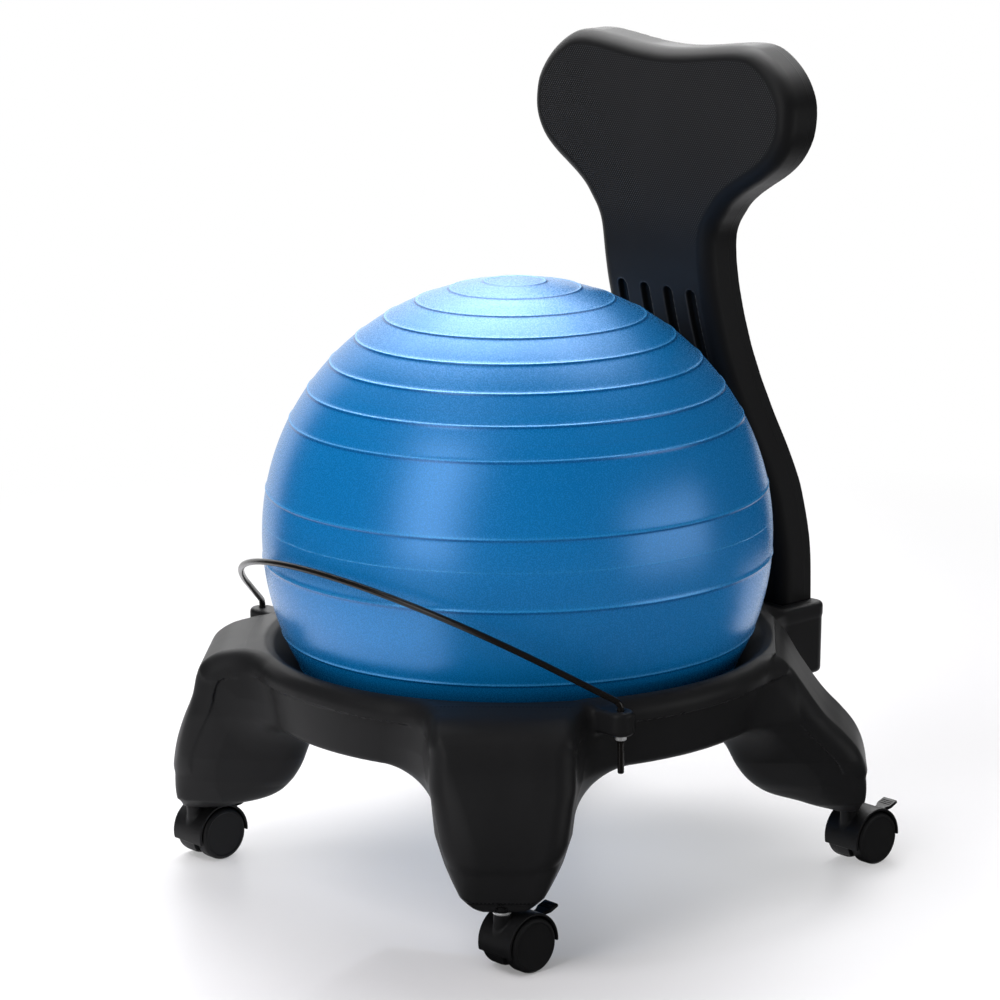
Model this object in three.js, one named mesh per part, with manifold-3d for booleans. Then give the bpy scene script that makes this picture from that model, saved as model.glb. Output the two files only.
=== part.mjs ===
// Balance ball chair. A blow-moulded base with four legs stands on hooded twin-wheel casters.
// An inflated ball sits loose in the base's ring, a bent steel bar keeps it from rolling out,
// and a moulded backrest plugs into a pocket at the rear.
// Millimetres, +Z up. The sitter faces -Y, and the backrest is at +Y.
import * as THREE from 'three';
import { mergeVertices } from 'three/addons/utils/BufferGeometryUtils.js';
import Module from 'manifold-3d';

const wasm = await Module();
wasm.setup();

const degree = Math.PI / 180;

// Clearances
const seatGap = 0.3;
const runningGap = 0.4;
const cutOverrun = 6;

// Sides of round pieces, and steps of bends
const pinSides = 8;
const rodSides = 10;
const boreSides = 12;
const postSides = 16;
const earSides = 20;
const bendSteps = 4;

// Ball
const ballRadius = 244;
const ballSkin = 1.6;
const ballSegments = 32;
const ballInnerSteps = 14;
const ribHeight = 1.2;
const ribHalfWidth = 1.8;
const seamHeight = 0.7;
const seamLatitude = 5;
const ribPitch = 7.87;
const ribNumbers = [-4, -3, -1, 1, 3, 4, 5, 6, 7, 8, 9, 10];
const smoothStepShare = 1.2;
const valveRadius = 4;
const plugFlangeRadius = 7;
const plugFlangeThickness = 1.5;
const plugLength = 9;

// Ring of the base, which carries the ball on a narrow cone inside
const ringSegments = 40;
const ringBottom = 163;
const ringHeight = 67.5;
const lipRise = 16;
const contactLatitude = 38.5;
const contactRun = 16;
const recessWidth = 17.5;
const rimWidth = 18;
const bandHeight = 22.5;
const bandStep = 5.5;
const skirtDraft = 5.5;
const baseWall = 4;
const rimRounding = 8;
const lipRounding = 5;
const skirtRounding = 7;

// Legs
const footHeight = 58.5;
const legOverhang = 79;
const legHalfWidth = 66;
const legCorner = 24;
const legCornerShare = 0.48;
const legCavityTopShare = 0.95;
const legSlopeStartShare = 0.45;
const footToe = 18.6;
const archWidth = 35;
const archHeight = 55;
const archFoot = 57;
const shoulderFillet = 45;
const postWall = 6;
const postRise = 4;

// Ears that hold the bar
const earAngle = -23;
const earOffset = 22;
const earRadius = 12.5;
const earHeight = 24;
const earDrop = 1.3;

// Bar
const barRadius = 3;
const barSides = 8;
const barGap = 5;
const barTilt = 35;
const barRise = 5.4;
const barBend = 9;
const hoopSteps = 12;
const barTail = 36;
const hoopRoundShare = 0.953;
const nutRadius = 5.6;
const nutHeight = 4.5;

// Pocket at the rear for the backrest's stem
const pocketWall = 3.7;
const pocketFloor = 7.7;
const pocketDepth = 66;
const pocketRounding = 12;
const pocketSideWall = 11;

// Backrest
const backrestHeight = 634;
const backrestThickness = 42;
const backrestEdge = 18;
const backrestLean = 103;
const backrestWall = 4;
const headHalfWidth = 173.5;
const stemHalfWidth = 78;
const stemSetback = 26;
const grooveWidth = 9;
const groovePitch = 32.5;
const grooveDepth = 7;
const grooveCount = 4;
const blowHoleRadius = 5;
const crownSteps = 6;
const cavityShares = [0.105, 0.95];
const grooveReachShares = [0.285, 0.62];
const edgeShares = [0, 0.12, 0.42, 1];

// Bolts of the backrest
const boltSpacing = 90;
const boltRise = 32;
const boltRadius = 3;
const boltLength = 24;
const boltHeadRadius = 5.5;
const boltHeadHeight = 3.6;
const washerRadius = 8;
const washerThickness = 1.4;
const insertRadius = 5;
const insertLength = 20;

// Casters
const casterSpacing = 450;
const wheelRadius = 26;
const casterWidth = 46;
const casterTrail = 19;
const wheelSegments = 16;
const wheelRounding = 3.5;
const wheelCap = 2.5;
const hoodGap = 1.2;
const hoodWall = 2.5;
const hoodWidth = 43;
const hoodBodyWidth = 16.4;
const hoodStart = -3;
const hoodEnd = 194;
const hoodSteps = 11;
const hoodKnee = 218;
const axleBossStart = 240;
const axleBossEnd = 320;
const hoodTubeRadius = 8;
const axleRadius = 3;
const axleBoss = 9.5;
const stemRadius = 4;
const stemDepth = 33;
const stemTip = 2;
const stemGrip = 34;
const socketWall = 2.7;
const socketLength = 37;
const socketFlange = 1.5;
const socketFlangeThickness = 0.9;
const collarRadius = 7.5;
const collarThickness = 1;
const leverLength = 26.5;
const leverThickness = 3.6;
const leverArmWidth = 12;
const leverTabWidth = 17.6;
const leverTabLength = 13.2;
const leverSlope = 19.4;
const leverPivotRadius = 23.4;
const leverPivotAngle = 45;
const leverBarrel = 3.6;
const leverPinRadius = 1.3;
const leverPocketStart = 13;
const leverPocketEnd = 68;

// Places that follow from the sizes above
const rimTop = ringBottom + ringHeight;
const contactHeight = ringBottom + lipRise;
const ballCentre = contactHeight + ballRadius * Math.sin(contactLatitude * degree);
const contactRadius = ballRadius * Math.cos(contactLatitude * degree);
const ballRadiusAtRim = Math.sqrt(ballRadius ** 2 - (ballCentre - rimTop) ** 2);
const bowlEdge = ballRadiusAtRim + recessWidth;
const rimRadius = bowlEdge + rimWidth;
const bandBottom = rimTop - bandHeight;
const skirtTop = rimRadius - bandStep;
const skirtFoot = skirtTop - skirtDraft;
const casterReach = casterSpacing * Math.SQRT1_2;
// A leg reaches past the ring, and always past its caster.
const legReach = Math.max(rimRadius + legOverhang, casterReach + footToe);
const legHeight = rimTop - footHeight;
const earTop = rimTop - earDrop;
const earDistance = rimRadius + earOffset;
const earX = earDistance * Math.cos(earAngle * degree);
const earY = earDistance * Math.sin(earAngle * degree);
const stemBack = rimRadius + stemSetback + backrestThickness;
const stemFront = stemBack - backrestThickness;
const pocketTop = ringBottom - pocketFloor + pocketDepth;
const stemBottom = ringBottom - pocketFloor;
const pocketBase = stemBottom - seatGap - pocketFloor;
const casterOffset = casterSpacing / 2;
const hoodInner = wheelRadius + hoodGap;
const hoodOuter = hoodInner + hoodWall;
const hoodTop = wheelRadius + hoodOuter;
const collarBottom = hoodTop + seatGap;
const flangeBottom = collarBottom + collarThickness + seatGap;
const socketRadius = stemRadius + seatGap + socketWall;
const boreRadius = socketRadius + seatGap;
const postTop = footHeight + socketLength + postRise;
// A caster is built up from its own wheels' floor, and hangs from the foot.
const casterHeight = flangeBottom + socketFlangeThickness + seatGap;

// Plain helpers for outlines and closed solids

// Rounds the corners of a closed outline. A corner is [x, y, radius, steps], and without a
// radius it stays sharp.
function rounded(corners) {
  const points = [];
  corners.forEach(([x, y, radius = 0, steps = 3], index) => {
    const corner = new THREE.Vector2(x, y);
    if (!radius) {
      points.push(corner);
      return;
    }
    const [px, py] = corners[(index + corners.length - 1) % corners.length];
    const [nx, ny] = corners[(index + 1) % corners.length];
    const toPrevious = new THREE.Vector2(px, py).sub(corner);
    const toNext = new THREE.Vector2(nx, ny).sub(corner);
    const room = Math.min(toPrevious.length(), toNext.length()) / 2;
    toPrevious.normalize();
    toNext.normalize();
    const half = Math.acos(THREE.MathUtils.clamp(toPrevious.dot(toNext), -1, 1)) / 2;
    const reach = Math.min(radius / Math.tan(half), room);
    const arcRadius = reach * Math.tan(half);
    const bisector = toPrevious.clone().add(toNext).normalize();
    const centre = corner.clone().addScaledVector(bisector, arcRadius / Math.sin(half));
    const start = corner.clone().addScaledVector(toPrevious, reach).sub(centre);
    const end = corner.clone().addScaledVector(toNext, reach).sub(centre);
    const turn = Math.atan2(start.x * end.y - start.y * end.x, start.dot(end));
    for (let step = 0; step <= steps; step += 1) {
      points.push(start.clone().rotateAround(new THREE.Vector2(), (turn * step) / steps).add(centre));
    }
  });
  return points;
}

// Moves every side of a closed outline inwards by the same distance.
function inset(corners, distance) {
  const sides = corners.map(([x, y], index) => {
    const [nx, ny] = corners[(index + 1) % corners.length];
    const along = new THREE.Vector2(nx - x, ny - y).normalize();
    const start = new THREE.Vector2(x - along.y * distance, y + along.x * distance);
    return { start, along };
  });
  return sides.map((side, index) => {
    const before = sides[(index + sides.length - 1) % sides.length];
    const across = before.along.cross(side.along);
    const offset = side.start.clone().sub(before.start);
    const point = before.start.clone().addScaledVector(before.along, offset.cross(side.along) / across);
    return [point.x, point.y];
  });
}

function arcPoints(centreX, centreY, radius, startAngle, endAngle, steps) {
  return Array.from({ length: steps + 1 }, (_, step) => {
    const angle = (startAngle + ((endAngle - startAngle) * step) / steps) * degree;
    return new THREE.Vector2(centreX + radius * Math.cos(angle), centreY + radius * Math.sin(angle));
  });
}

// Merges shared vertices and turns the faces outwards.
function closed(geometry) {
  geometry.deleteAttribute('normal');
  geometry.deleteAttribute('uv');
  const merged = mergeVertices(geometry, seatGap / 1000);
  const place = merged.getAttribute('position');
  const faces = Array.from(merged.index.array);
  const corners = [0, 1, 2].map(() => new THREE.Vector3());
  const kept = [];
  let volume = 0;
  for (let face = 0; face < faces.length; face += 3) {
    const [a, b, c] = faces.slice(face, face + 3);
    if (a === b || b === c || c === a) continue;
    kept.push(a, b, c);
    corners.forEach((corner, index) => corner.fromBufferAttribute(place, faces[face + index]));
    volume += corners[0].dot(corners[1].clone().cross(corners[2]));
  }
  if (volume < 0) kept.reverse();
  merged.setIndex(kept);
  return merged;
}

function solid(geometry) {
  const mesh = closed(geometry);
  return new wasm.Manifold(
    new wasm.Mesh({
      numProp: 3,
      vertProperties: Float32Array.from(mesh.getAttribute('position').array),
      triVerts: Uint32Array.from(mesh.index.array),
    }),
  );
}

function surface(body) {
  const mesh = body.getMesh();
  const geometry = new THREE.BufferGeometry();
  geometry.setAttribute('position', new THREE.Float32BufferAttribute(mesh.vertProperties, 3));
  geometry.setIndex(Array.from(mesh.triVerts));
  return geometry;
}

const join = (first, ...others) => others.reduce((body, other) => body.add(other), first);
const cut = (first, ...others) => others.reduce((body, other) => body.subtract(other), first);

// A solid of revolution about Z. The outline's points are [radius, height].
function turned(points, segments) {
  const profile = points.map((point) => new THREE.Vector2(...(point.isVector2 ? point.toArray() : point)));
  const onAxis = profile[0].x === 0 && profile[profile.length - 1].x === 0;
  if (!onAxis) profile.push(profile[0].clone());
  return closed(new THREE.LatheGeometry(profile, segments).rotateX(Math.PI / 2));
}

function ring(innerRadius, outerRadius, bottom, top, segments) {
  const corners = [
    [innerRadius, bottom],
    [outerRadius, bottom],
    [outerRadius, top],
    [innerRadius, top],
  ];
  return turned(corners, segments);
}

function rod(radius, bottom, top, segments) {
  return turned([[0, bottom], [radius, bottom], [radius, top], [0, top]], segments);
}

// An upright prism over an outline in X and Y.
function prism(points, bottom, top) {
  const corners = points.map((point) => (point.isVector2 ? point : new THREE.Vector2(...point)));
  const shape = new THREE.Shape(corners);
  const geometry = new THREE.ExtrudeGeometry(shape, { depth: top - bottom, bevelEnabled: false });
  return geometry.translate(0, 0, bottom);
}

// A prism along X over an outline in Y and Z, centred on X = 0.
function crossPrism(points, width) {
  return prism(points, -width / 2, width / 2).rotateX(Math.PI / 2).rotateZ(Math.PI / 2);
}

function box(minimum, maximum) {
  const size = maximum.map((value, axis) => value - minimum[axis]);
  const middle = maximum.map((value, axis) => (value + minimum[axis]) / 2);
  return new THREE.BoxGeometry(...size).translate(...middle);
}

// A closed skin over loops of equal length, with a fan at each end.
function loft(loops) {
  const count = loops[0].length;
  const positions = loops.flat().flatMap((point) => point.toArray());
  const faces = [];
  for (let row = 0; row + 1 < loops.length; row += 1) {
    for (let column = 0; column < count; column += 1) {
      const next = (column + 1) % count;
      const [a, b] = [row * count + column, row * count + next];
      faces.push(a, b, b + count, a, b + count, a + count);
    }
  }
  [0, loops.length - 1].forEach((row) => {
    const middle = loops[row].reduce((sum, point) => sum.add(point), new THREE.Vector3());
    positions.push(...middle.divideScalar(count).toArray());
    const hub = positions.length / 3 - 1;
    for (let column = 0; column < count; column += 1) {
      const pair = [row * count + column, row * count + ((column + 1) % count)];
      faces.push(...(row === 0 ? pair.reverse() : pair), hub);
    }
  });
  const geometry = new THREE.BufferGeometry();
  geometry.setAttribute('position', new THREE.Float32BufferAttribute(positions, 3));
  geometry.setIndex(faces);
  return geometry;
}

// A closed slab between a front grid and a back grid of points.
function slab(front, back) {
  const rows = front.length;
  const columns = front[0].length;
  const positions = [...front.flat(), ...back.flat()].flatMap((point) => point.toArray());
  const faces = [];
  const at = (side, row, column) => (side * rows + row) * columns + column;
  const quad = (a, b, c, d) => faces.push(a, b, c, a, c, d);
  for (let row = 0; row + 1 < rows; row += 1) {
    for (let column = 0; column + 1 < columns; column += 1) {
      const corners = (side) => [
        at(side, row, column),
        at(side, row, column + 1),
        at(side, row + 1, column + 1),
        at(side, row + 1, column),
      ];
      quad(...corners(0));
      quad(...corners(1).reverse());
    }
    const last = columns - 1;
    quad(at(0, row, 0), at(0, row + 1, 0), at(1, row + 1, 0), at(1, row, 0));
    quad(at(0, row + 1, last), at(0, row, last), at(1, row, last), at(1, row + 1, last));
  }
  for (let column = 0; column + 1 < columns; column += 1) {
    const top = rows - 1;
    quad(at(0, 0, column + 1), at(0, 0, column), at(1, 0, column), at(1, 0, column + 1));
    quad(at(0, top, column), at(0, top, column + 1), at(1, top, column + 1), at(1, top, column));
  }
  const geometry = new THREE.BufferGeometry();
  geometry.setAttribute('position', new THREE.Float32BufferAttribute(positions, 3));
  geometry.setIndex(faces);
  return geometry;
}

// Base: ring, legs, ears and pocket are one blow-moulded shell

// The ring's outline, outside and in the bowl. The ball rests on the cone between the lip and
// the end of its contact run, which leaves the ball's own curve along a tangent.
function ringCorners() {
  const slope = contactLatitude * degree;
  const along = [Math.sin(slope), Math.cos(slope)];
  const facetAllowance = 1 / Math.cos(Math.PI / ringSegments);
  const contact = [
    (contactRadius + seatGap * Math.cos(slope)) * facetAllowance,
    contactHeight - seatGap * Math.sin(slope),
  ];
  const lipReach = (contact[1] - ringBottom) / along[1];
  return [
    [contact[0] - along[0] * lipReach, ringBottom, lipRounding, 1],
    [skirtFoot, ringBottom, skirtRounding, 2],
    [skirtTop, bandBottom],
    [rimRadius, bandBottom],
    [rimRadius, rimTop, rimRounding, 2],
    [bowlEdge, rimTop, rimRounding, 2],
    [contact[0] + along[0] * contactRun, contact[1] + along[1] * contactRun],
  ];
}

function ringCavityCorners() {
  const [lip, foot, , , , edge, run] = ringCorners();
  const shoulder = [skirtTop, rimTop];
  return inset([lip, foot, shoulder, edge, run].map(([x, y]) => [x, y]), baseWall);
}

// Rows of a leg from the foot to the rim: height, outer reach, inner reach and half width, as
// shares of the leg's height, reach and half width. The front legs have a square shoulder.
const frontLegShares = [
  [0, 0.973, 0.855, 0.4],
  [0.01, 0.983, 0.81, 0.48],
  [0.035, 0.992, 0.757, 0.56],
  [0.08, 0.998, 0.7, 0.64],
  [0.185, 1, 0.638, 0.735],
  [0.31, 0.994, 0.602, 0.82],
  [0.475, 0.975, 0.585, 0.9],
  [0.62, 0.941, 0.564, 0.96],
  [0.735, 0.921, 0.558, 0.985],
  [0.85, 0.908, 0.558, 0.985],
  [0.915, 0.89, 0.558, 0.94],
  [0.96, 0.862, 0.558, 0.85],
  [0.985, 0.825, 0.558, 0.7],
];
// The rear legs fall away from the rim in one hollow curve.
const rearLegShares = [
  [0, 0.973, 0.855, 0.4],
  [0.01, 0.984, 0.81, 0.48],
  [0.035, 0.993, 0.757, 0.56],
  [0.08, 1, 0.7, 0.64],
  [0.185, 1, 0.638, 0.735],
  [0.27, 0.992, 0.615, 0.79],
  [0.405, 0.968, 0.59, 0.865],
  [0.5, 0.938, 0.58, 0.92],
  [0.6, 0.89, 0.565, 0.965],
  [0.74, 0.83, 0.558, 1],
  [0.86, 0.79, 0.558, 1],
  [0.95, 0.765, 0.558, 0.96],
];

// A leg along +X, later turned to its corner. The inset shrinks it for the hollow inside.
function legLoops(shares, shrink, corner, steps) {
  return shares.map(([heightShare, outerShare, innerShare, widthShare]) => {
    const outer = legReach * outerShare - shrink;
    const inner = Math.min(legReach * innerShare, casterReach - boreRadius - postWall) + shrink;
    const side = legHalfWidth * widthShare - shrink;
    const turn = Math.min(corner, side * legCornerShare, (outer - inner) * legCornerShare);
    const outline = rounded([
      [inner, -side, turn, steps],
      [outer, -side, turn, steps],
      [outer, side, turn, steps],
      [inner, side, turn, steps],
    ]);
    const height = footHeight + legHeight * heightShare;
    return outline.map((point) => new THREE.Vector3(point.x, point.y, height));
  });
}

// The plan of the stretch between ring and leg: the ring's circle runs into the leg's sides
// through a hollow fillet.
function shoulderPlan(circleRadius, side, reach) {
  const centreY = side + shoulderFillet;
  const centreX = Math.sqrt((circleRadius + shoulderFillet) ** 2 - centreY ** 2);
  const touch = Math.atan2(centreY, centreX) / degree;
  const fillet = arcPoints(centreX, centreY, shoulderFillet, touch + 180, 270, bendSteps);
  const farX = Math.max(reach, centreX + baseWall);
  const half = [
    new THREE.Vector2(skirtFoot - legCorner, centreY * (circleRadius / (circleRadius + shoulderFillet))),
    ...fillet,
    new THREE.Vector2(farX, side),
  ];
  const mirrored = half.map((point) => new THREE.Vector2(point.x, -point.y));
  return [...mirrored, ...half.reverse()];
}

// The arch under the ring, seen along the leg: everything above it is kept.
function archOutline(top, spread) {
  const crown = archFoot + archWidth;
  const right = Array.from({ length: bendSteps + 1 }, (_, step) => {
    const angle = ((90 * step) / bendSteps) * degree;
    return [crown - archWidth * Math.cos(angle), ringBottom - archHeight * (1 - Math.sin(angle))];
  });
  const left = right.map(([x, y]) => [-x, y]).reverse();
  return [[-spread, ringBottom], ...left, ...right, [spread, ringBottom], [spread, top], [-spread, top]];
}

// Turns a solid built along +X so that it points to a corner of the base.
const turnedTo = (geometry, angle) => geometry.clone().rotateZ(angle * degree);

// The fall of a leg's outer face, seen from the side.
function legSideProfile(shares) {
  const upper = shares.filter(([heightShare]) => heightShare > legSlopeStartShare);
  const slope = upper.map(([heightShare, outerShare]) => [
    legReach * outerShare,
    footHeight + legHeight * heightShare,
  ]);
  return [
    [contactRadius, footHeight],
    [slope[0][0], footHeight],
    ...slope,
    [rimRadius - rimRounding, rimTop],
    [contactRadius, rimTop],
  ];
}

// Web and band between the ring and one leg.
function shoulder(shares) {
  const reach = legReach * shares[shares.length - 1][1];
  const webPlan = shoulderPlan(skirtTop, legHalfWidth - bandStep, reach);
  const bandPlan = shoulderPlan(rimRadius, legHalfWidth, reach);
  const web = solid(prism(webPlan, ringBottom - archHeight, bandBottom + seatGap));
  const band = solid(prism(bandPlan, bandBottom, rimTop - rimRounding / 2));
  const arch = prism(archOutline(rimTop, rimRadius), 0, legReach)
    .rotateX(Math.PI / 2)
    .rotateZ(Math.PI / 2);
  const arched = join(web, band).intersect(solid(arch));
  if (shares === frontLegShares) return arched;
  const fall = prism(legSideProfile(shares), -rimRadius, rimRadius).rotateX(Math.PI / 2);
  return arched.intersect(solid(fall));
}

const legAngles = { front_left: -135, front_right: -45, rear_left: 135, rear_right: 45 };
const isFront = (name) => name.startsWith('front');
const casterPlace = (name) => [
  Math.sign(Math.cos(legAngles[name] * degree)) * casterOffset,
  Math.sign(Math.sin(legAngles[name] * degree)) * casterOffset,
];

function pocketBlock() {
  const side = stemHalfWidth + seatGap + pocketSideWall;
  const back = stemBack + seatGap + pocketWall;
  const corners = [
    [-side, skirtFoot - skirtRounding],
    [side, skirtFoot - skirtRounding],
    [side, back, pocketRounding],
    [-side, back, pocketRounding],
  ];
  return solid(prism(rounded(corners), pocketBase, pocketTop));
}

function baseFrame() {
  let outer = solid(turned(rounded(ringCorners()), ringSegments));
  let hollow = solid(turned(ringCavityCorners(), ringSegments));
  const bowlTop = rimTop + cutOverrun;
  const [lip, , , , , edge, run] = ringCorners();
  const bowlCorners = [
    [0, ringBottom - archHeight],
    [lip[0], ringBottom - archHeight],
    lip.slice(0, 2),
    run.slice(0, 2),
    edge.slice(0, 2),
    [edge[0], bowlTop],
    [0, bowlTop],
  ];
  const bowl = solid(turned(bowlCorners, ringSegments));
  const skinCorners = [
    [0, ringBottom],
    [lip[0] + baseWall, ringBottom],
    ...[lip, run, edge].map(([x, y]) => [x + baseWall, y - baseWall]),
    [edge[0] + baseWall, bowlTop],
    [0, bowlTop],
  ];
  const bowlSkin = solid(turned(skinCorners, ringSegments));

  Object.entries(legAngles).forEach(([name, angle]) => {
    const shares = isFront(name) ? frontLegShares : rearLegShares;
    const leg = turnedTo(loft(legLoops(shares, 0, legCorner, 2)), angle);
    outer = join(outer, solid(leg), solid(turnedTo(surface(shoulder(shares)), angle)));
    const inner = shares.filter(([heightShare]) => heightShare > 0 && heightShare < legCavityTopShare);
    const [floor, , ...walls] = legLoops(inner, baseWall, legCorner - baseWall, 1);
    floor.forEach((point) => point.setZ(footHeight + baseWall));
    const core = solid(turnedTo(loft([floor, ...walls]), angle));
    hollow = hollow.add(core.subtract(bowlSkin));
  });

  outer = cut(join(outer, pocketBlock()), bowl);

  [1, -1].forEach((side) => {
    const neck = [
      [side * contactRadius, earY - earRadius],
      [side * earX, earY - earRadius],
      [side * earX, earY + earRadius],
      [side * contactRadius, earY + earRadius],
    ];
    const post = rod(earRadius, earTop - earHeight, earTop, earSides).translate(side * earX, earY, 0);
    const bar = solid(prism(neck, earTop - earHeight, earTop)).subtract(bowl);
    outer = join(outer, solid(post), bar);
    const hole = rod(barRadius + seatGap, earTop - earHeight - cutOverrun, earTop + cutOverrun, boreSides);
    outer = outer.subtract(solid(hole.translate(side * earX, earY, 0)));
  });

  Object.keys(legAngles).forEach((name) => {
    const [x, y] = casterPlace(name);
    const post = rod(boreRadius + postWall, footHeight - cutOverrun, postTop, postSides).translate(x, y, 0);
    hollow = hollow.subtract(solid(post));
  });
  const pocketSkin = box(
    [-stemHalfWidth - seatGap - baseWall, stemFront - seatGap - baseWall, pocketBase],
    [stemHalfWidth + seatGap + baseWall, stemBack + pocketWall, rimTop],
  );
  hollow = hollow.subtract(solid(pocketSkin));
  outer = outer.subtract(hollow);

  Object.keys(legAngles).forEach((name) => {
    const [x, y] = casterPlace(name);
    const bore = rod(boreRadius, footHeight - cutOverrun, postTop + cutOverrun, postSides);
    outer = outer.subtract(solid(bore.translate(x, y, 0)));
  });
  const pocket = box(
    [-stemHalfWidth - seatGap, stemFront - seatGap, stemBottom - seatGap],
    [stemHalfWidth + seatGap, stemBack + seatGap, rimTop + cutOverrun],
  );
  outer = outer.subtract(solid(pocket));
  boltPlaces().forEach(([x, z]) => {
    const hole = rod(boltRadius + seatGap, -insertLength, insertLength, boreSides);
    outer = outer.subtract(solid(hole.rotateX(Math.PI / 2).translate(x, stemBack + pocketWall, z)));
  });
  return surface(outer);
}

const boltPlaces = () => [-1, 1].map((side) => [(side * boltSpacing) / 2, stemBottom + boltRise]);

// Backrest

// Rows from the stem's foot to the head's crown: height of the row's ends, half width, lean
// towards the sitter, and height of the row's middle, as shares of the backrest's sizes.
const backrestShares = [
  [0, 0.45, 0, 0],
  [0.105, 0.45, 0, 0.105],
  [0.17, 0.432, 0.005, 0.17],
  [0.23, 0.421, 0.05, 0.23],
  [0.285, 0.415, 0.12, 0.285],
  [0.347, 0.415, 0.28, 0.347],
  [0.404, 0.415, 0.455, 0.404],
  [0.462, 0.415, 0.625, 0.462],
  [0.518, 0.415, 0.765, 0.518],
  [0.573, 0.412, 0.875, 0.573],
  [0.62, 0.406, 0.947, 0.62],
  [0.663, 0.404, 0.986, 0.663],
  [0.702, 0.41, 1, 0.702],
  [0.729, 0.433, 1, 0.729],
  [0.749, 0.484, 1, 0.749],
  [0.767, 0.56, 1, 0.767],
  [0.784, 0.657, 0.998, 0.787],
  [0.8, 0.755, 0.995, 0.807],
  [0.82, 0.853, 0.99, 0.827],
  [0.841, 0.922, 0.985, 0.845],
  [0.864, 0.974, 0.98, 0.863],
  [0.894, 1, 0.973, 0.882],
  [0.926, 0.988, 0.967, 0.902],
  [0.95, 0.951, 0.962, 0.921],
  [0.968, 0.888, 0.96, 0.939],
  [0.984, 0.79, 0.96, 0.956],
  [0.992, 0.72, 0.96, 0.966],
  [0.997, 0.646, 0.96, 0.973],
];

const rowsBetween = ([lowShare, highShare]) =>
  backrestShares.filter(([share]) => share >= lowShare && share <= highShare).map(backrestRow);

const backrestRow = ([heightShare, widthShare, leanShare, middleShare]) => ({
  height: stemBottom + backrestHeight * heightShare,
  middle: stemBottom + backrestHeight * middleShare,
  half: widthShare === backrestShares[0][1] ? stemHalfWidth : headHalfWidth * widthShare,
  back: stemBack - backrestLean * leanShare,
});

// Height of a row at a share of its half width: the ends and the middle differ at the head.
const rowHeight = (row, share) =>
  row.height + ((row.middle - row.height) * (1 + Math.cos(Math.PI * share))) / 2;

function backrestOutline(rows) {
  const crown = rows[rows.length - 1];
  const side = rows.map((row) => new THREE.Vector2(row.half, row.height));
  for (let step = 1; step <= crownSteps; step += 1) {
    const share = 1 - step / crownSteps;
    side.push(new THREE.Vector2(crown.half * share, rowHeight(crown, share)));
  }
  return side;
}

function distanceToOutline(point, outline) {
  let nearest = Infinity;
  const along = new THREE.Vector2();
  for (let index = 0; index + 1 < outline.length; index += 1) {
    const start = outline[index];
    along.subVectors(outline[index + 1], start);
    const offset = point.clone().sub(start);
    const share = THREE.MathUtils.clamp(offset.dot(along) / along.lengthSq(), 0, 1);
    nearest = Math.min(nearest, offset.addScaledVector(along, -share).length());
  }
  return nearest;
}

// Half thickness at a distance from the edge: the faces curve round to a narrow parting wall.
function halfThickness(distance) {
  const half = backrestThickness / 2;
  if (distance >= backrestEdge) return half;
  return half - backrestEdge + Math.sqrt(backrestEdge ** 2 - (backrestEdge - distance) ** 2);
}

function backrestGrid(rows, outline, columnsOf, shrink) {
  const front = [];
  const back = [];
  rows.forEach((row) => {
    const middle = row.back - backrestThickness / 2;
    const places = columnsOf(row);
    const points = places.map((x) => {
      const z = rowHeight(row, x / row.half);
      const half = halfThickness(distanceToOutline(new THREE.Vector2(Math.abs(x), z), outline)) - shrink;
      return { x, z, half };
    });
    front.push(points.map(({ x, z, half }) => new THREE.Vector3(x, middle - half, z)));
    back.push(points.map(({ x, z, half }) => new THREE.Vector3(x, middle + half, z)));
  });
  return slab(front, back);
}

const mirrored = (places) => [...places.map((x) => -x), ...places.filter((x) => x > 0).reverse()];

function groovePrism(rows, x, extra) {
  const half = grooveWidth / 2 + extra;
  const loops = rows.map((row) => {
    const face = row.back - backrestThickness;
    return [
      new THREE.Vector3(x - half, face - cutOverrun, row.height),
      new THREE.Vector3(x + half, face - cutOverrun, row.height),
      new THREE.Vector3(x + half, face + grooveDepth + extra, row.height),
      new THREE.Vector3(x - half, face + grooveDepth + extra, row.height),
    ];
  });
  return solid(loft(loops));
}

function backrest() {
  const rows = backrestShares.map(backrestRow);
  const outline = backrestOutline(rows);
  const columns = (row) => {
    const edge = edgeShares.map((share) => row.half - backrestEdge * share);
    return mirrored([...edge, (row.half - backrestEdge) / 2, 0]);
  };
  let body = solid(backrestGrid(rows, outline, columns, 0));

  const cavityRows = rowsBetween(cavityShares);
  const cavityColumns = (row) => mirrored([row.half - 2 * backrestWall, row.half / 2, 0]);
  let hollow = solid(backrestGrid(cavityRows, outline, cavityColumns, backrestWall));
  const grooveRows = rowsBetween(grooveReachShares);
  for (let index = 0; index < grooveCount; index += 1) {
    const x = (index - (grooveCount - 1) / 2) * groovePitch;
    hollow = hollow.subtract(groovePrism(grooveRows, x, backrestWall));
    body = body.subtract(groovePrism(grooveRows, x, 0));
  }
  const blowHoleTop = cavityRows[0].height + cutOverrun;
  const blowHole = rod(blowHoleRadius, stemBottom - cutOverrun, blowHoleTop, boreSides);
  blowHole.translate(0, stemBack - backrestThickness / 2, 0);
  body = cut(body, hollow, solid(blowHole));
  boltPlaces().forEach(([x, z]) => {
    const depth = insertLength + seatGap;
    const bore = rod(insertRadius + seatGap, -depth, cutOverrun, boreSides).rotateX(-Math.PI / 2);
    body = body.subtract(solid(bore.translate(x, stemBack, z)));
  });
  return surface(body);
}

// Ball: a thin skin with raised ribs round it and a seam, open at the valve underneath

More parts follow.
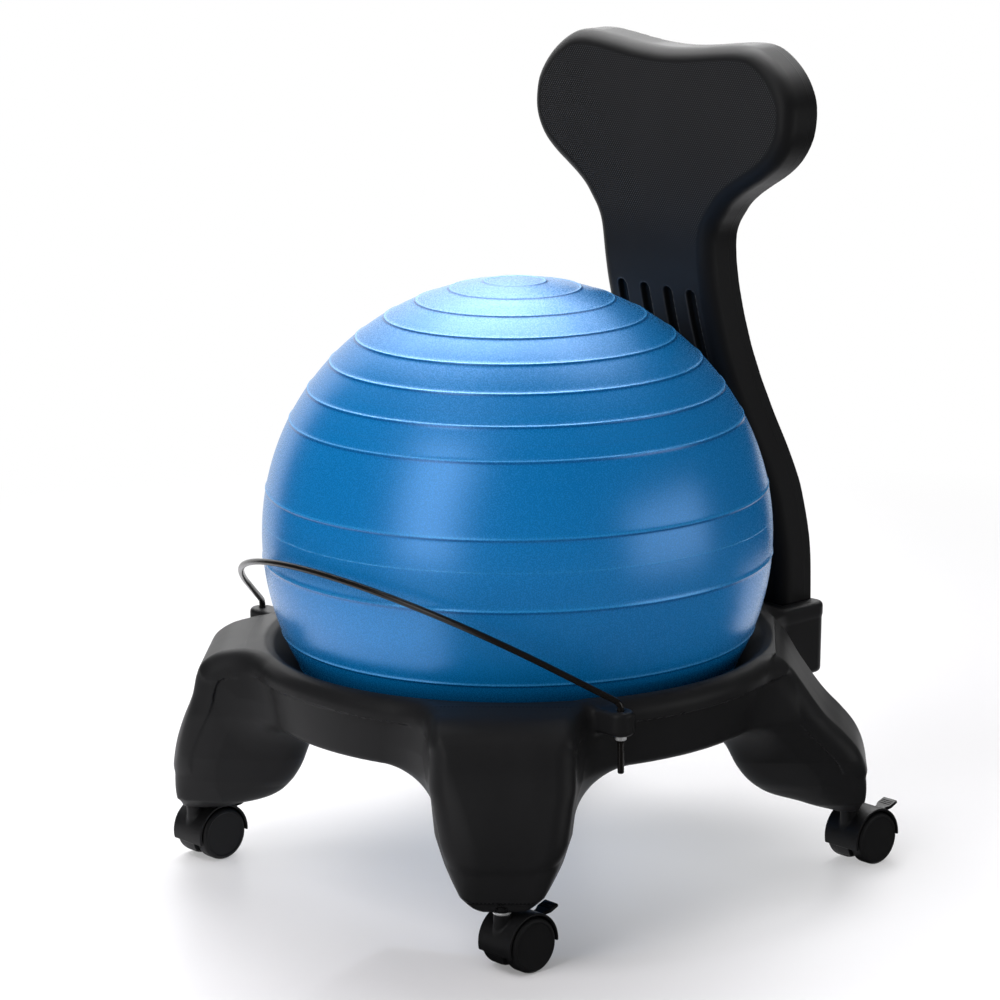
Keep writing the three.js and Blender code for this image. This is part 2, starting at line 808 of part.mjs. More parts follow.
function ballProfile() {
  const onSphere = (radius, latitude) => [
    radius * Math.cos(latitude * degree),
    ballCentre + radius * Math.sin(latitude * degree),
  ];
  const halfRib = ribHalfWidth / ballRadius / degree;
  const rise = (number) => (number === 0 ? seamHeight : ribHeight);
  const numbers = [...ribNumbers, 0].sort((a, b) => a - b);
  const outside = [];
  let last = -90;
  const fill = (next) => {
    const count = Math.floor((next - last) / (ribPitch * smoothStepShare));
    for (let step = 1; step <= count; step += 1) {
      outside.push(onSphere(ballRadius, last + ((next - last) * step) / (count + 1)));
    }
  };
  outside.push([valveRadius, ballCentre - Math.sqrt(ballRadius ** 2 - valveRadius ** 2)]);
  numbers.forEach((number) => {
    const latitude = seamLatitude + number * ribPitch;
    fill(latitude - halfRib);
    outside.push(onSphere(ballRadius, latitude - halfRib));
    outside.push(onSphere(ballRadius + rise(number), latitude));
    outside.push(onSphere(ballRadius, latitude + halfRib));
    last = latitude + halfRib;
  });
  outside.push([0, ballCentre + ballRadius]);
  const innerRadius = ballRadius - ballSkin;
  const inside = [];
  for (let step = 0; step < ballInnerSteps; step += 1) {
    const latitude = 90 - (180 * step) / ballInnerSteps;
    inside.push(step === 0 ? [0, ballCentre + innerRadius] : onSphere(innerRadius, latitude));
  }
  inside.push([valveRadius, ballCentre - Math.sqrt(innerRadius ** 2 - valveRadius ** 2)]);
  return { outside, inside };
}

function ball() {
  const { outside, inside } = ballProfile();
  return turned([...outside.reverse(), ...inside.reverse()], ballSegments);
}

function valvePlug() {
  const bottom = ballCentre - ballRadius;
  const flangeTop = bottom - seatGap;
  const profile = [
    [0, flangeTop - plugFlangeThickness],
    [plugFlangeRadius, flangeTop - plugFlangeThickness],
    [plugFlangeRadius, flangeTop],
    [valveRadius - seatGap, flangeTop],
    [valveRadius - 2 * seatGap, flangeTop + plugLength],
    [0, flangeTop + plugLength],
  ];
  return turned(profile, boreSides);
}

// Bar: a hoop in a tilted plane, with tails bent straight down through the ears

// A curve through given stations, so that each bend keeps its own steps.
class StationCurve extends THREE.Curve {
  constructor(stations) {
    super();
    this.stations = stations;
  }

  getPointAt(share) {
    const place = share * (this.stations.length - 1);
    const index = Math.min(Math.floor(place), this.stations.length - 2);
    return this.stations[index].clone().lerp(this.stations[index + 1], place - index);
  }

  getTangentAt(share) {
    const index = Math.round(share * (this.stations.length - 1));
    const before = this.stations[Math.max(index - 1, 0)];
    const here = this.stations[index];
    const after = this.stations[Math.min(index + 1, this.stations.length - 1)];
    const incoming = here.clone().sub(before).normalize();
    return incoming.add(after.clone().sub(here).normalize()).normalize();
  }
}

function barStations() {
  const apexReach = ballRadius + ribHeight + barGap + barRadius;
  const tilt = barTilt * degree;
  const planeHeight = earTop + barRise;
  const depth = (apexReach + earY) / Math.cos(tilt);
  const throughRadius = (earX ** 2 + depth ** 2) / (2 * depth);
  const hoopRadius = hoopRoundShare * throughRadius;
  const toPlace = (x, along) =>
    new THREE.Vector3(
      x,
      -apexReach + along * Math.cos(tilt),
      planeHeight + (depth - along) * Math.sin(tilt),
    );
  const fromCentre = new THREE.Vector2(earX, depth - hoopRadius);
  const leave = Math.acos(hoopRadius / fromCentre.length());
  const touch = Math.PI / 2 + Math.atan2(fromCentre.y, fromCentre.x) - leave;
  const half = Array.from({ length: hoopSteps + 1 }, (_, step) => {
    const angle = (touch * step) / hoopSteps;
    return toPlace(hoopRadius * Math.sin(angle), hoopRadius * (1 - Math.cos(angle)));
  });

  const corner = toPlace(earX, depth);
  const incoming = corner.clone().sub(half[half.length - 1]).normalize();
  const down = new THREE.Vector3(0, 0, -1);
  const bendAngle = Math.acos(incoming.dot(down));
  const reach = barBend * Math.tan(bendAngle / 2);
  const start = corner.clone().addScaledVector(incoming, -reach);
  const side = down.clone().addScaledVector(incoming, -incoming.dot(down)).normalize();
  for (let step = 0; step <= bendSteps; step += 1) {
    const angle = (bendAngle * step) / bendSteps;
    half.push(start.clone()
      .addScaledVector(incoming, barBend * Math.sin(angle))
      .addScaledVector(side, barBend * (1 - Math.cos(angle))));
  }
  half.push(new THREE.Vector3(earX, corner.y, earTop - earHeight - barTail));
  const mirrorHalf = half.slice(1).map((point) => new THREE.Vector3(-point.x, point.y, point.z));
  return [...mirrorHalf.reverse(), ...half];
}

function restraintBar() {
  const stations = barStations();
  const section = new THREE.Shape(arcPoints(0, 0, barRadius, 0, 360 - 360 / barSides, barSides - 1));
  const settings = { steps: stations.length - 1, extrudePath: new StationCurve(stations) };
  return closed(new THREE.ExtrudeGeometry(section, settings));
}

function barNut() {
  const top = earTop - earHeight - seatGap;
  const hexagon = prism(arcPoints(0, 0, nutRadius, 0, 300, 5), top - nutHeight, top);
  const bore = rod(barRadius + seatGap, top - nutHeight - cutOverrun, top + cutOverrun, boreSides);
  return surface(cut(solid(hexagon), solid(bore)));
}

// Casters. Each is built with its stem on the Z axis and its wheels trailing towards +Y.

const polar = (radius, angle) => [
  casterTrail + radius * Math.cos(angle * degree),
  wheelRadius + radius * Math.sin(angle * degree),
];

const leverPivot = () => polar(leverPivotRadius, leverPivotAngle);

function hood() {
  const arc = (radius, start, end, steps = hoodSteps) =>
    arcPoints(casterTrail, wheelRadius, radius, start, end, steps);
  const band = [...arc(hoodOuter, hoodStart, hoodEnd), ...arc(hoodInner, hoodEnd, hoodStart)];
  const shell = crossPrism(band, hoodWidth);
  const bodyRadius = (hoodInner + hoodOuter) / 2;
  const bodyOutline = [
    ...arc(bodyRadius, hoodStart, hoodEnd),
    new THREE.Vector2(...polar(hoodInner, hoodKnee)),
    ...arc(axleBoss, axleBossStart, axleBossEnd, bendSteps),
  ];
  const body = crossPrism(bodyOutline, hoodBodyWidth);
  const tube = rod(hoodTubeRadius, wheelRadius, hoodTop, boreSides);
  const bodyAndTube = join(solid(shell), solid(body), solid(tube));
  const axleBore = rod(axleRadius + seatGap, -casterWidth, casterWidth, boreSides)
    .rotateY(Math.PI / 2)
    .translate(0, casterTrail, wheelRadius);
  const stemBoreBottom = hoodTop - stemDepth - seatGap;
  const stemBore = rod(stemRadius + seatGap, stemBoreBottom, hoodTop + cutOverrun, boreSides);
  const leverPocketFloor = leverPivotRadius - leverBarrel - runningGap;
  const leverPocketOutline = [
    ...arc(leverPocketFloor, leverPocketStart, leverPocketEnd, bendSteps),
    ...arc(hoodOuter + cutOverrun, leverPocketEnd, leverPocketStart, bendSteps),
  ];
  const leverPocket = crossPrism(leverPocketOutline, leverArmWidth + 2 * runningGap);
  const pinBore = rod(leverPinRadius + seatGap, -hoodBodyWidth, hoodBodyWidth, pinSides)
    .rotateY(Math.PI / 2)
    .translate(0, ...leverPivot());
  return surface(cut(bodyAndTube, solid(axleBore), solid(stemBore), solid(leverPocket), solid(pinBore)));
}

function wheel(side) {
  const inner = hoodBodyWidth / 2 + runningGap;
  const outer = casterWidth / 2;
  const tread = [
    [0, outer],
    [wheelRadius - 2 * wheelRounding, outer],
    [wheelRadius - wheelRounding / 2, outer - wheelRounding / 2],
    [wheelRadius, outer - wheelRounding],
    [wheelRadius, inner + wheelRounding / 2],
    [wheelRadius - wheelRounding / 2, inner],
    [axleRadius + seatGap, inner],
    [axleRadius + seatGap, outer - wheelCap],
    [0, outer - wheelCap],
  ];
  const geometry = turned(tread, wheelSegments);
  geometry.rotateZ(Math.PI / wheelSegments).rotateY((side * Math.PI) / 2);
  return closed(geometry.translate(0, casterTrail, wheelRadius));
}

function axle() {
  const half = casterWidth / 2 - wheelCap - runningGap;
  return rod(axleRadius, -half, half, rodSides).rotateY(Math.PI / 2).translate(0, casterTrail, wheelRadius);
}

function casterStem() {
  const bottom = hoodTop - stemDepth;
  const top = flangeBottom + stemGrip;
  const profile = [
    [0, bottom],
    [stemRadius, bottom],
    [stemRadius, top - stemTip],
    [stemRadius - stemTip / 2, top],
    [0, top],
  ];
  return turned(profile, rodSides);
}

function collar() {
  const top = collarBottom + collarThickness;
  return ring(stemRadius + seatGap, collarRadius, collarBottom, top, boreSides);
}

function casterSocket() {
  const inner = stemRadius + seatGap;
  const flangeTop = flangeBottom + socketFlangeThickness;
  const profile = [
    [inner, flangeBottom],
    [socketRadius + socketFlange, flangeBottom],
    [socketRadius + socketFlange, flangeTop],
    [socketRadius, flangeTop],
    [socketRadius, flangeBottom + socketLength],
    [inner, flangeBottom + socketLength],
  ];
  return turned(profile, boreSides);
}

// Brake lever: a sloping arm on a barrel, with a wide tab for the toe outside the hood.
function brakeLever() {
  const [pivotY, pivotZ] = leverPivot();
  const direction = new THREE.Vector2(Math.cos(leverSlope * degree), Math.sin(leverSlope * degree));
  const across = new THREE.Vector2(-direction.y, direction.x);
  const place = (along, up) => [
    pivotY + direction.x * along + across.x * up,
    pivotZ + direction.y * along + across.y * up,
  ];
  const half = leverThickness / 2;
  const bar = (start, end) => [
    place(start, -half),
    place(end, -half),
    place(end, half),
    place(start, half),
  ];
  const arm = crossPrism(bar(0, leverLength), leverArmWidth);
  const tab = crossPrism(bar(leverLength - leverTabLength, leverLength), leverTabWidth);
  const alongX = (geometry) => geometry.rotateY(Math.PI / 2).translate(0, pivotY, pivotZ);
  const barrel = alongX(rod(leverBarrel, -leverArmWidth / 2, leverArmWidth / 2, boreSides));
  const bore = alongX(rod(leverPinRadius + seatGap, -leverArmWidth, leverArmWidth, pinSides));
  return surface(cut(join(solid(arm), solid(tab), solid(barrel)), solid(bore)));
}

function brakePin() {
  const half = hoodBodyWidth / 2 - seatGap;
  return rod(leverPinRadius, -half, half, pinSides).rotateY(Math.PI / 2).translate(0, ...leverPivot());
}

// Materials
const finish = (color, roughness, metalness = 0) =>
  new THREE.MeshStandardMaterial({ color, roughness, metalness });
const finishes = {
  base: () => finish(0x232325, 0.5),
  backrest: () => finish(0x202022, 0.55),
  ball: () => finish(0x0f6fc4, 0.32),
  plug: () => finish(0xe4e6e8, 0.5),
  bar: () => finish(0x111112, 0.35, 0.4),
  zinc: () => finish(0xc9ccd0, 0.3, 1),
  brass: () => finish(0xb08d4f, 0.35, 1),
  nylon: () => finish(0x141415, 0.45),
  wheel: () => finish(0x18181a, 0.5),
};

const chair = new THREE.Group();
function add(name, geometry, material, parent = chair) {
  const mesh = new THREE.Mesh(geometry, finishes[material]());
  mesh.name = name;
  parent.add(mesh);
  return mesh;
}

add('base_frame', baseFrame(), 'base');
add('backrest', backrest(), 'backrest');
add('ball', ball(), 'ball');
add('ball_valve_plug', valvePlug(), 'plug');
add('restraint_bar', restraintBar(), 'bar');

const sides = { left: -1, right: 1 };
Object.entries(sides).forEach(([sideName, side]) => {
  add(`bar_nut_${sideName}`, barNut().translate(side * earX, earY, 0), 'zinc');

  const x = (side * boltSpacing) / 2;
  const z = stemBottom + boltRise;
  const pocketBack = stemBack + seatGap + pocketWall;
  const place = (geometry) => geometry.rotateX(-Math.PI / 2).translate(x, pocketBack, z);
  const washer = ring(boltRadius + seatGap, washerRadius, seatGap, seatGap + washerThickness, postSides);
  add(`backrest_washer_${sideName}`, place(washer), 'zinc');
  const headBase = 2 * seatGap + washerThickness;
  const boltProfile = [
    [0, -boltLength],
    [boltRadius, -boltLength],
    [boltRadius, headBase],
    [boltHeadRadius, headBase],
    [boltHeadRadius, headBase + boltHeadHeight / 2],
    [boltHeadRadius / 2, headBase + boltHeadHeight],
    [0, headBase + boltHeadHeight],
  ];
  add(`backrest_bolt_${sideName}`, place(turned(boltProfile, boreSides)), 'zinc');
  const insertTop = -pocketWall - seatGap;
  const insert = ring(boltRadius + seatGap, insertRadius, insertTop - insertLength, insertTop, boreSides);
  add(`backrest_insert_${sideName}`, place(insert), 'brass');
});

Object.keys(legAngles).forEach((name) => {
  const caster = new THREE.Group();
  const [x, y] = casterPlace(name);
  caster.position.set(x, y, footHeight - casterHeight);
  chair.add(caster);
  const piece = (part, geometry, material) => add(`caster_${name}_${part}`, geometry, material, caster);
  piece('socket', casterSocket(), 'nylon');
  piece('collar', collar(), 'zinc');
  piece('stem', casterStem(), 'zinc');
  piece('hood', hood(), 'nylon');
  piece('axle', axle(), 'zinc');
  piece('wheel_left', wheel(-1), 'wheel');
  piece('wheel_right', wheel(1), 'wheel');
  piece('brake_lever', brakeLever(), 'nylon');
  piece('brake_pin', brakePin(), 'zinc');
});

// The origin is on the floor, under the middle of the chair's own box.
const bounds = new THREE.Box3().setFromObject(chair);
chair.position.set(-(bounds.min.x + bounds.max.x) / 2, -(bounds.min.y + bounds.max.y) / 2, -bounds.min.z);

const model = new THREE.Group();
model.add(chair);
export default model;
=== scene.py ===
# %% [markdown]
# # Balance ball chair
# The chair has five kinds of piece: a blow-moulded base, a blow-moulded backrest, an inflated ball,
# a bent steel bar and four small twin-wheel casters. The CAD frame gives each piece its place and
# its joints. This notebook gives each one its fine surface and its finish.

# %% The frame
import math

import bpy
import numpy as np
from mathutils import Matrix, Vector


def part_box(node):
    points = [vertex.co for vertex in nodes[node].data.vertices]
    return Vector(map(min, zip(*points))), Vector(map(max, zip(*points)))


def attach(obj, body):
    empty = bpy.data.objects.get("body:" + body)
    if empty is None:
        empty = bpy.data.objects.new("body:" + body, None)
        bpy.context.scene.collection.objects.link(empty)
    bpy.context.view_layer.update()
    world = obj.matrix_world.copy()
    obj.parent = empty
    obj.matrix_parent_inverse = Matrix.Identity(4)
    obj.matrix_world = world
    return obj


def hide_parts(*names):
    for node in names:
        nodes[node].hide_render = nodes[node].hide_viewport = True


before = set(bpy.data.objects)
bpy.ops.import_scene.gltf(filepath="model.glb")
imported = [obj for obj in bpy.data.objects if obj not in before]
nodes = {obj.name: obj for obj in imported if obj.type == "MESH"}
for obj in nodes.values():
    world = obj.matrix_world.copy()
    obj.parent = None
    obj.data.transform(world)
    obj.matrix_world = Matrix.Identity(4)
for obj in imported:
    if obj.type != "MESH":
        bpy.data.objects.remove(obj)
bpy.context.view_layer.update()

mm = 0.001


def box_mm(node):
    """The lowest and highest corner of a CAD node, in millimetres."""
    low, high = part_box(node)
    return np.array(low) / mm, np.array(high) / mm


# %% [markdown]
# ## Camera
# The photograph was taken with a long lens from the chair's front right, a little above it. The
# place and the directions below were worked out from the outlines of the ball, the ring, the feet,
# the casters and the backrest, so the render can be laid over the photograph. The camera is built
# from its own axes, because a long lens shows even half a degree of roll.

# %% Camera at the photograph's angle
ball_low, ball_high = box_mm("ball")
axis_y = (ball_low[1] + ball_high[1]) / 2
lens_length = 140.7
camera_place = Vector((2.7035, -2.4317 + axis_y * mm, 1.1982))
camera_right = Vector((0.6671, 0.7449, -0.0101)).normalized()
camera_up = Vector((-0.1606, 0.1570, 0.9745))
camera_up = (camera_up - camera_right * camera_up.dot(camera_right)).normalized()
camera_back = camera_right.cross(camera_up)

camera_data = bpy.data.cameras.new("camera")
camera_data.lens = lens_length
camera_data.sensor_width = 36
camera_data.clip_end = 40
camera = bpy.data.objects.new("camera", camera_data)
bpy.context.scene.collection.objects.link(camera)
turn = Matrix((camera_right, camera_up, camera_back)).transposed().to_4x4()
camera.matrix_world = Matrix.Translation(camera_place) @ turn
bpy.context.scene.camera = camera
print("camera", tuple(round(value, 3) for value in camera_place), "lens", lens_length)


# %% [markdown]
# ## Writing nodes as sums
# Shader and geometry trees are easier to read as formulas than as boxes and links. A Wire holds one
# output of a node and knows how to add, multiply and compare itself, and a Tree makes any other node
# from its type, its settings and what goes into its sockets.

# %% Wires
class Wire:
    """One output of a node, used in formulas as if it were a number."""

    def __init__(self, tree, socket):
        self.tree = tree
        self.socket = socket

    def maths(self, operation, *values, clamp=False):
        """What one maths node makes of these values."""
        settings = {"operation": operation, "use_clamp": clamp}
        return self.tree.node("ShaderNodeMath", settings, list(values))

    def __add__(self, other):
        return self.maths("ADD", self, other)

    def __sub__(self, other):
        return self.maths("SUBTRACT", self, other)

    def __mul__(self, other):
        return self.maths("MULTIPLY", self, other)

    def __truediv__(self, other):
        return self.maths("DIVIDE", self, other)

    def __pow__(self, other):
        return self.maths("POWER", self, other)

    def __radd__(self, other):
        return self.maths("ADD", other, self)

    def __rsub__(self, other):
        return self.maths("SUBTRACT", other, self)

    def __rmul__(self, other):
        return self.maths("MULTIPLY", other, self)

    def below(self, other):
        return self.maths("LESS_THAN", self, other)

    def above(self, other):
        return self.maths("GREATER_THAN", self, other)

    def least(self, other):
        return self.maths("MINIMUM", self, other)

    def most(self, other):
        return self.maths("MAXIMUM", self, other)

    def size(self):
        return self.maths("ABSOLUTE", self)

    def sine(self):
        return self.maths("SINE", self)

    def cosine(self):
        return self.maths("COSINE", self)

    def whole(self):
        """The next whole number below."""
        return self.maths("FLOOR", self)

    def fraction(self):
        """What is left above the next whole number below."""
        return self.maths("FRACT", self)

    def held(self):
        """The value kept between 0 and 1."""
        return self.maths("ADD", self, 0.0, clamp=True)

    def share(self, start, end):
        """0 at start and 1 at end, with a straight run between."""
        return ((self - start) * (1 / (end - start))).held()


print("a Wire can do", sum(callable(value) for value in vars(Wire).values()), "things")


# %% Trees
class Tree:
    """Makes nodes in one shader or geometry tree."""

    def __init__(self, tree):
        self.tree = tree

    def node(self, kind, settings=None, values=None, output=0):
        """values is a list in socket order, or a dictionary by socket name or number."""
        made = self.tree.nodes.new(kind)
        for name, value in (settings or {}).items():
            setattr(made, name, value)
        pairs = enumerate(values) if isinstance(values, list) else (values or {}).items()
        for name, value in pairs:
            socket = made.inputs[name]
            if isinstance(value, Wire):
                self.tree.links.new(value.socket, socket)
            elif value is not None:
                socket.default_value = value
        return Wire(self, made.outputs[output]) if made.outputs else None

    def parts(self, vector):
        """The x, y and z of a vector, each a Wire."""
        split = self.node("ShaderNodeSeparateXYZ", values=[vector]).socket.node
        return [Wire(self, output) for output in split.outputs]

    def vector(self, x, y, z):
        return self.node("ShaderNodeCombineXYZ", values=[x, y, z])


print("formulas ready")


# %% [markdown]
# ## Floor and light
# The photograph is a bright studio shot. The chair stands on white paper, with a wide softbox above
# and behind it and a low one on the right. On the left a narrow softbox stands inside a wide faint
# one, so its reflection on the ball fades out at the sides. A last one fills the front from above.
# The camera's side of the room is dark, which keeps the blue deep and the plastic black, and the
# white room shows only at the edges.

# %% White room
def linked(made):
    """Puts an object into the scene."""
    bpy.context.scene.collection.objects.link(made)
    return made


world = bpy.data.worlds.new("studio")
bpy.context.scene.world = world
world.use_nodes = True
world.node_tree.nodes.clear()
room = Tree(world.node_tree)
ambient = 0.29
path = room.node("ShaderNodeLightPath").socket.node
seen = (Wire(room, path.outputs["Is Camera Ray"])
        + Wire(room, path.outputs["Is Glossy Ray"])
        + Wire(room, path.outputs["Is Transmission Ray"])).held()
strength = ambient + (1 - ambient) * seen
sky = room.node("ShaderNodeBackground", values={"Color": (1, 1, 1, 1), "Strength": strength})
room.node("ShaderNodeOutputWorld", values=[sky])
bpy.context.scene.view_settings.view_transform = "Standard"
print("room at strength", ambient)


# %% Paper on the floor
def new_material(name):
    """An empty material and the tree that it is made in."""
    made = bpy.data.materials.new(name)
    made.use_nodes = True
    made.node_tree.nodes.clear()
    return made, Tree(made.node_tree)


def plate(name, corners, material):
    """A flat piece of the studio with these corners, in metres."""
    mesh = bpy.data.meshes.new(name)
    mesh.from_pydata([tuple(corner) for corner in corners], [], [tuple(range(len(corners)))])
    made = linked(bpy.data.objects.new(name, mesh))
    mesh.materials.append(material)
    return made


paper, tree = new_material("paper")
place = tree.node("ShaderNodeTexCoord", output="Object")
x, y, _ = tree.parts(place)


def far_from(middle_x, middle_y):
    """How far a place on the paper lies from another, in metres."""
    return ((x - middle_x) ** 2 + (y - middle_y) ** 2) ** 0.5


# Painted shade and light on the paper: in front of the chair it is darker and glows less, as a painted
# shadow, and under the base it glows more, as painted light.
front = 1 - far_from(0.2, -0.42).share(0.08, 0.5)
under = 1 - far_from(0.16, 0.08).share(0.04, 0.34)
glow_with_painted_light = 0.34 - front * 0.2 + under * 0.1 + far_from(0, 0).share(0.8, 1.8) * 0.66
paper_colour_with_painted_shade = tree.node("ShaderNodeMix", {"data_type": "RGBA"}, {
    0: front, 6: (0.93, 0.915, 0.94, 1), 7: (0.74, 0.725, 0.75, 1)}, output=2)
sheet = tree.node("ShaderNodeBsdfPrincipled", values={
    "Base Color": paper_colour_with_painted_shade, "Roughness": 0.32, "Specular IOR Level": 0.35})
white = tree.node("ShaderNodeEmission", values={"Color": (1, 1, 1, 1), "Strength": 1.0})
mixed = tree.node("ShaderNodeMixShader", values=[glow_with_painted_light, sheet, white])
tree.node("ShaderNodeOutputMaterial", values=[mixed])
half = 12
plate("floor", [(-half, -half, 0), (half, -half, 0), (half, half, 0), (-half, half, 0)], paper)
print("paper", 2 * half, "m across")


# %% Softboxes
def softbox(name, place, width, height, watts):
    """A rectangle of light that faces the middle of the chair."""
    light = bpy.data.lights.new(name, "AREA")
    light.shape = "RECTANGLE"
    light.size, light.size_y = width, height
    light.energy = watts
    made = linked(bpy.data.objects.new(name, light))
    made.location = place
    made.rotation_euler = (chair_middle - place).to_track_quat("-Z", "Y").to_euler()
    return made


chair_middle = Vector((0, 0, 0.4))
towards = Vector((camera_back.x, camera_back.y, 0)).normalized()
rightwards = Vector((camera_right.x, camera_right.y, 0)).normalized()


def studio_place(right, near, up):
    """A place in metres, counted to the camera's right, towards the camera and up."""
    return rightwards * right + towards * near + Vector((0, 0, up))


top_place = studio_place(0.0, -1.15, 2.15)
top = softbox("top_light", top_place, 2.1, 1.5, 50)
top.visible_glossy = False
shine = softbox("top_shine", top_place, 2.1, 1.5, 390)
shine.visible_diffuse = False
softbox("left_light", studio_place(-1.45, 1.75, 1.25), 0.7, 2.0, 5)
softbox("left_halo", studio_place(-1.5, 1.8, 1.25), 1.4, 2.4, 13)
softbox("right_light", studio_place(2.2, 0.9, 0.4), 1.7, 1.3, 10)
fill = softbox("fill_light", studio_place(-1.3, 1.2, 2.7), 1.8, 1.8, 48)
fill.visible_glossy = False
print("softboxes round", tuple(chair_middle))


# %% [markdown]
# The room behind the camera is dark. That darkness is painted in as a curved black curtain and a
# black sheet on the floor in front of the chair. Only reflections see them, so the light on the chair
# stays soft.

# %% Dark half of the room
painted_dark, tree = new_material("dark_cloth")
tree.node("ShaderNodeOutputMaterial", values=[
    tree.node("ShaderNodeBsdfDiffuse", values={"Color": (0.004, 0.004, 0.004, 1)})])


def curtain_place(degrees, distance, up):
    """A place at that turn round the chair, 0 degrees being towards the camera."""
    angle = math.radians(degrees)
    return studio_place(distance * math.sin(angle), distance * math.cos(angle), up)


def painted_dark_sheet(name, turns, near, far):
    """A curved strip round the chair between two edges, each a distance and a height."""
    for count, (start, end) in enumerate(zip(turns, turns[1:])):
        corners = [curtain_place(start, *near), curtain_place(end, *near),
                   curtain_place(end, *far), curtain_place(start, *far)]
        made = plate(f"{name}_{count}", corners, painted_dark)
        made.visible_camera = False
        made.visible_diffuse = False
        made.visible_shadow = False


# Painted darkness: reflections see these black sheets in place of the lit room and the white paper.
curtain_turns = np.arange(-134, 171, 16)
painted_dark_sheet("curtain", curtain_turns, (4.0, 0.003), (3.4, 3.2))
painted_dark_sheet("ceiling", curtain_turns, (3.4, 3.2), (0.0, 3.6))
painted_dark_sheet("front_cloth", np.arange(-30, 111, 20), (0.3, 0.003), (1.25, 0.003))
painted_dark_sheet("wide_cloth", np.arange(-130, 151, 20), (1.25, 0.003), (4.0, 0.003))
print("studio set")


# %% [markdown]
# ## Shapes from distance
# Blow-moulded parts have no sharp joints: a leg runs into the ring through a wide hollow curve. A
# way to get that is to write the shape as a distance, negative inside the plastic and positive
# outside. Two shapes then join through a true round fillet with one formula, and a cut or a raised
# panel is one more. The surface is where the distance is zero. All of it is in millimetres.

# %% Joining and cutting by distance
def joined(first, second, fillet):
    """Both shapes as one, with a hollow fillet of that radius where they meet."""
    near = np.hypot(np.maximum(fillet - first, 0), np.maximum(fillet - second, 0))
    return np.maximum(fillet, np.minimum(first, second)) - near


def shared(first, second, rounding):
    """Only what lies in both shapes, with a round edge of that radius."""
    near = np.hypot(np.maximum(rounding + first, 0), np.maximum(rounding + second, 0))
    return np.minimum(-rounding, np.maximum(first, second)) + near


def without(first, cutter, rounding):
    """The first shape less the cutter, with a round edge of that radius."""
    return shared(first, -cutter, rounding)


def smooth_outline(corners, steps=8):
    """A closed curve through the corners. A corner given twice stays sharp."""
    corners = np.array(corners, float)
    count = len(corners)
    points = []
    for index in range(count):
        before, start, end, after = (corners[(index + shift) % count] for shift in (-1, 0, 1, 2))
        if np.allclose(start, end):
            continue
        leave = (end - before) / 2 if not np.allclose(before, start) else (end - start) / 2
        arrive = (after - start) / 2 if not np.allclose(after, end) else (end - start) / 2
        for share in np.arange(steps) / steps:
            square, cube = share**2, share**3
            points.append((2 * cube - 3 * square + 1) * start + (cube - 2 * square + share) * leave
                          + (3 * square - 2 * cube) * end + (cube - square) * arrive)
    return np.array(points)


print("a fillet of 10 mm fills its corner by", round(-float(joined(0, 0, 10)), 2), "mm")


# %% [markdown]
# A profile is drawn once on a fine flat grid that holds the distance to its edge, as a card
# template does on a bench. Looking a distance up there is much faster than measuring it again for
# millions of places.

# %% Card templates
class Template:
    """A flat outline that knows the distance to its edge."""

    def __init__(self, outline, pitch=1.0, margin=60.0):
        outline = np.array(outline, float)
        self.low = outline.min(0) - margin
        self.pitch = pitch
        counts = np.ceil((outline.max(0) + margin - self.low) / pitch).astype(int) + 1
        lines = [self.low[axis] + pitch * np.arange(counts[axis]) for axis in (0, 1)]
        across, up = np.meshgrid(*lines, indexing="ij")
        nearest = np.full(across.shape, np.inf)
        inside = np.zeros(across.shape, bool)
        for (x0, y0), (x1, y1) in zip(outline, np.roll(outline, -1, 0)):
            dx, dy = x1 - x0, y1 - y0
            share = np.clip(((across - x0) * dx + (up - y0) * dy) / (dx**2 + dy**2), 0, 1)
            nearest = np.minimum(nearest, np.hypot(across - x0 - share * dx, up - y0 - share * dy))
            if y0 != y1:
                crosses = (y0 > up) != (y1 > up)
                inside ^= crosses & (across < x0 + (up - y0) / (y1 - y0) * dx)
        self.table = np.where(inside, -nearest, nearest)

    def __call__(self, across, up):
        rows, columns = self.table.shape
        place_x = np.clip((across - self.low[0]) / self.pitch, 0, rows - 1.001)
        place_y = np.clip((up - self.low[1]) / self.pitch, 0, columns - 1.001)
        column, row = place_x.astype(int), place_y.astype(int)
        share_x, share_y = place_x - column, place_y - row
        table = self.table
        lower = table[column, row] * (1 - share_x) + table[column + 1, row] * share_x
        upper = table[column, row + 1] * (1 - share_x) + table[column + 1, row + 1] * share_x
        return lower * (1 - share_y) + upper * share_y


square = Template([(0, 0), (10, 0), (10, 10), (0, 10)])
print("the middle of a 10 mm square lies at", float(square(np.array(5.0), np.array(5.0))), "mm")


# %% [markdown]
# A grid of small cubes finds the surface: each cube that the surface crosses gets one point, and
# points of neighbouring cubes are joined into four-sided faces. The points are then moved along
# the slope of the distance until they lie on the true surface, which keeps the faces even and
# the curves clean.

# %% Cubes that the surface crosses
def crossed_cubes(distance, low, high, step):
    """The distance at the corners of a grid, and the grid's first corner."""
    low = np.array(low, float) - 2.5 * step
    counts = np.ceil((np.array(high, float) + 2.5 * step - low) / step).astype(int) + 1
    lines = [low[axis] + step * np.arange(counts[axis]) for axis in range(3)]
    y, z = np.meshgrid(lines[1], lines[2], indexing="ij")
    layers = [distance(np.full(y.shape, x), y, z).astype(np.float32) for x in lines[0]]
    return np.stack(layers), low


def marble(x, y, z):
    """A ball of 10 mm, to try the tools on."""
    return np.hypot(np.hypot(x, y), z) - 10


marble_field, _ = crossed_cubes(marble, (-10, -10, -10), (10, 10, 10), 2.0)
print("a ball of 10 mm on a 2 mm grid has", (marble_field < 0).sum(), "corners inside")


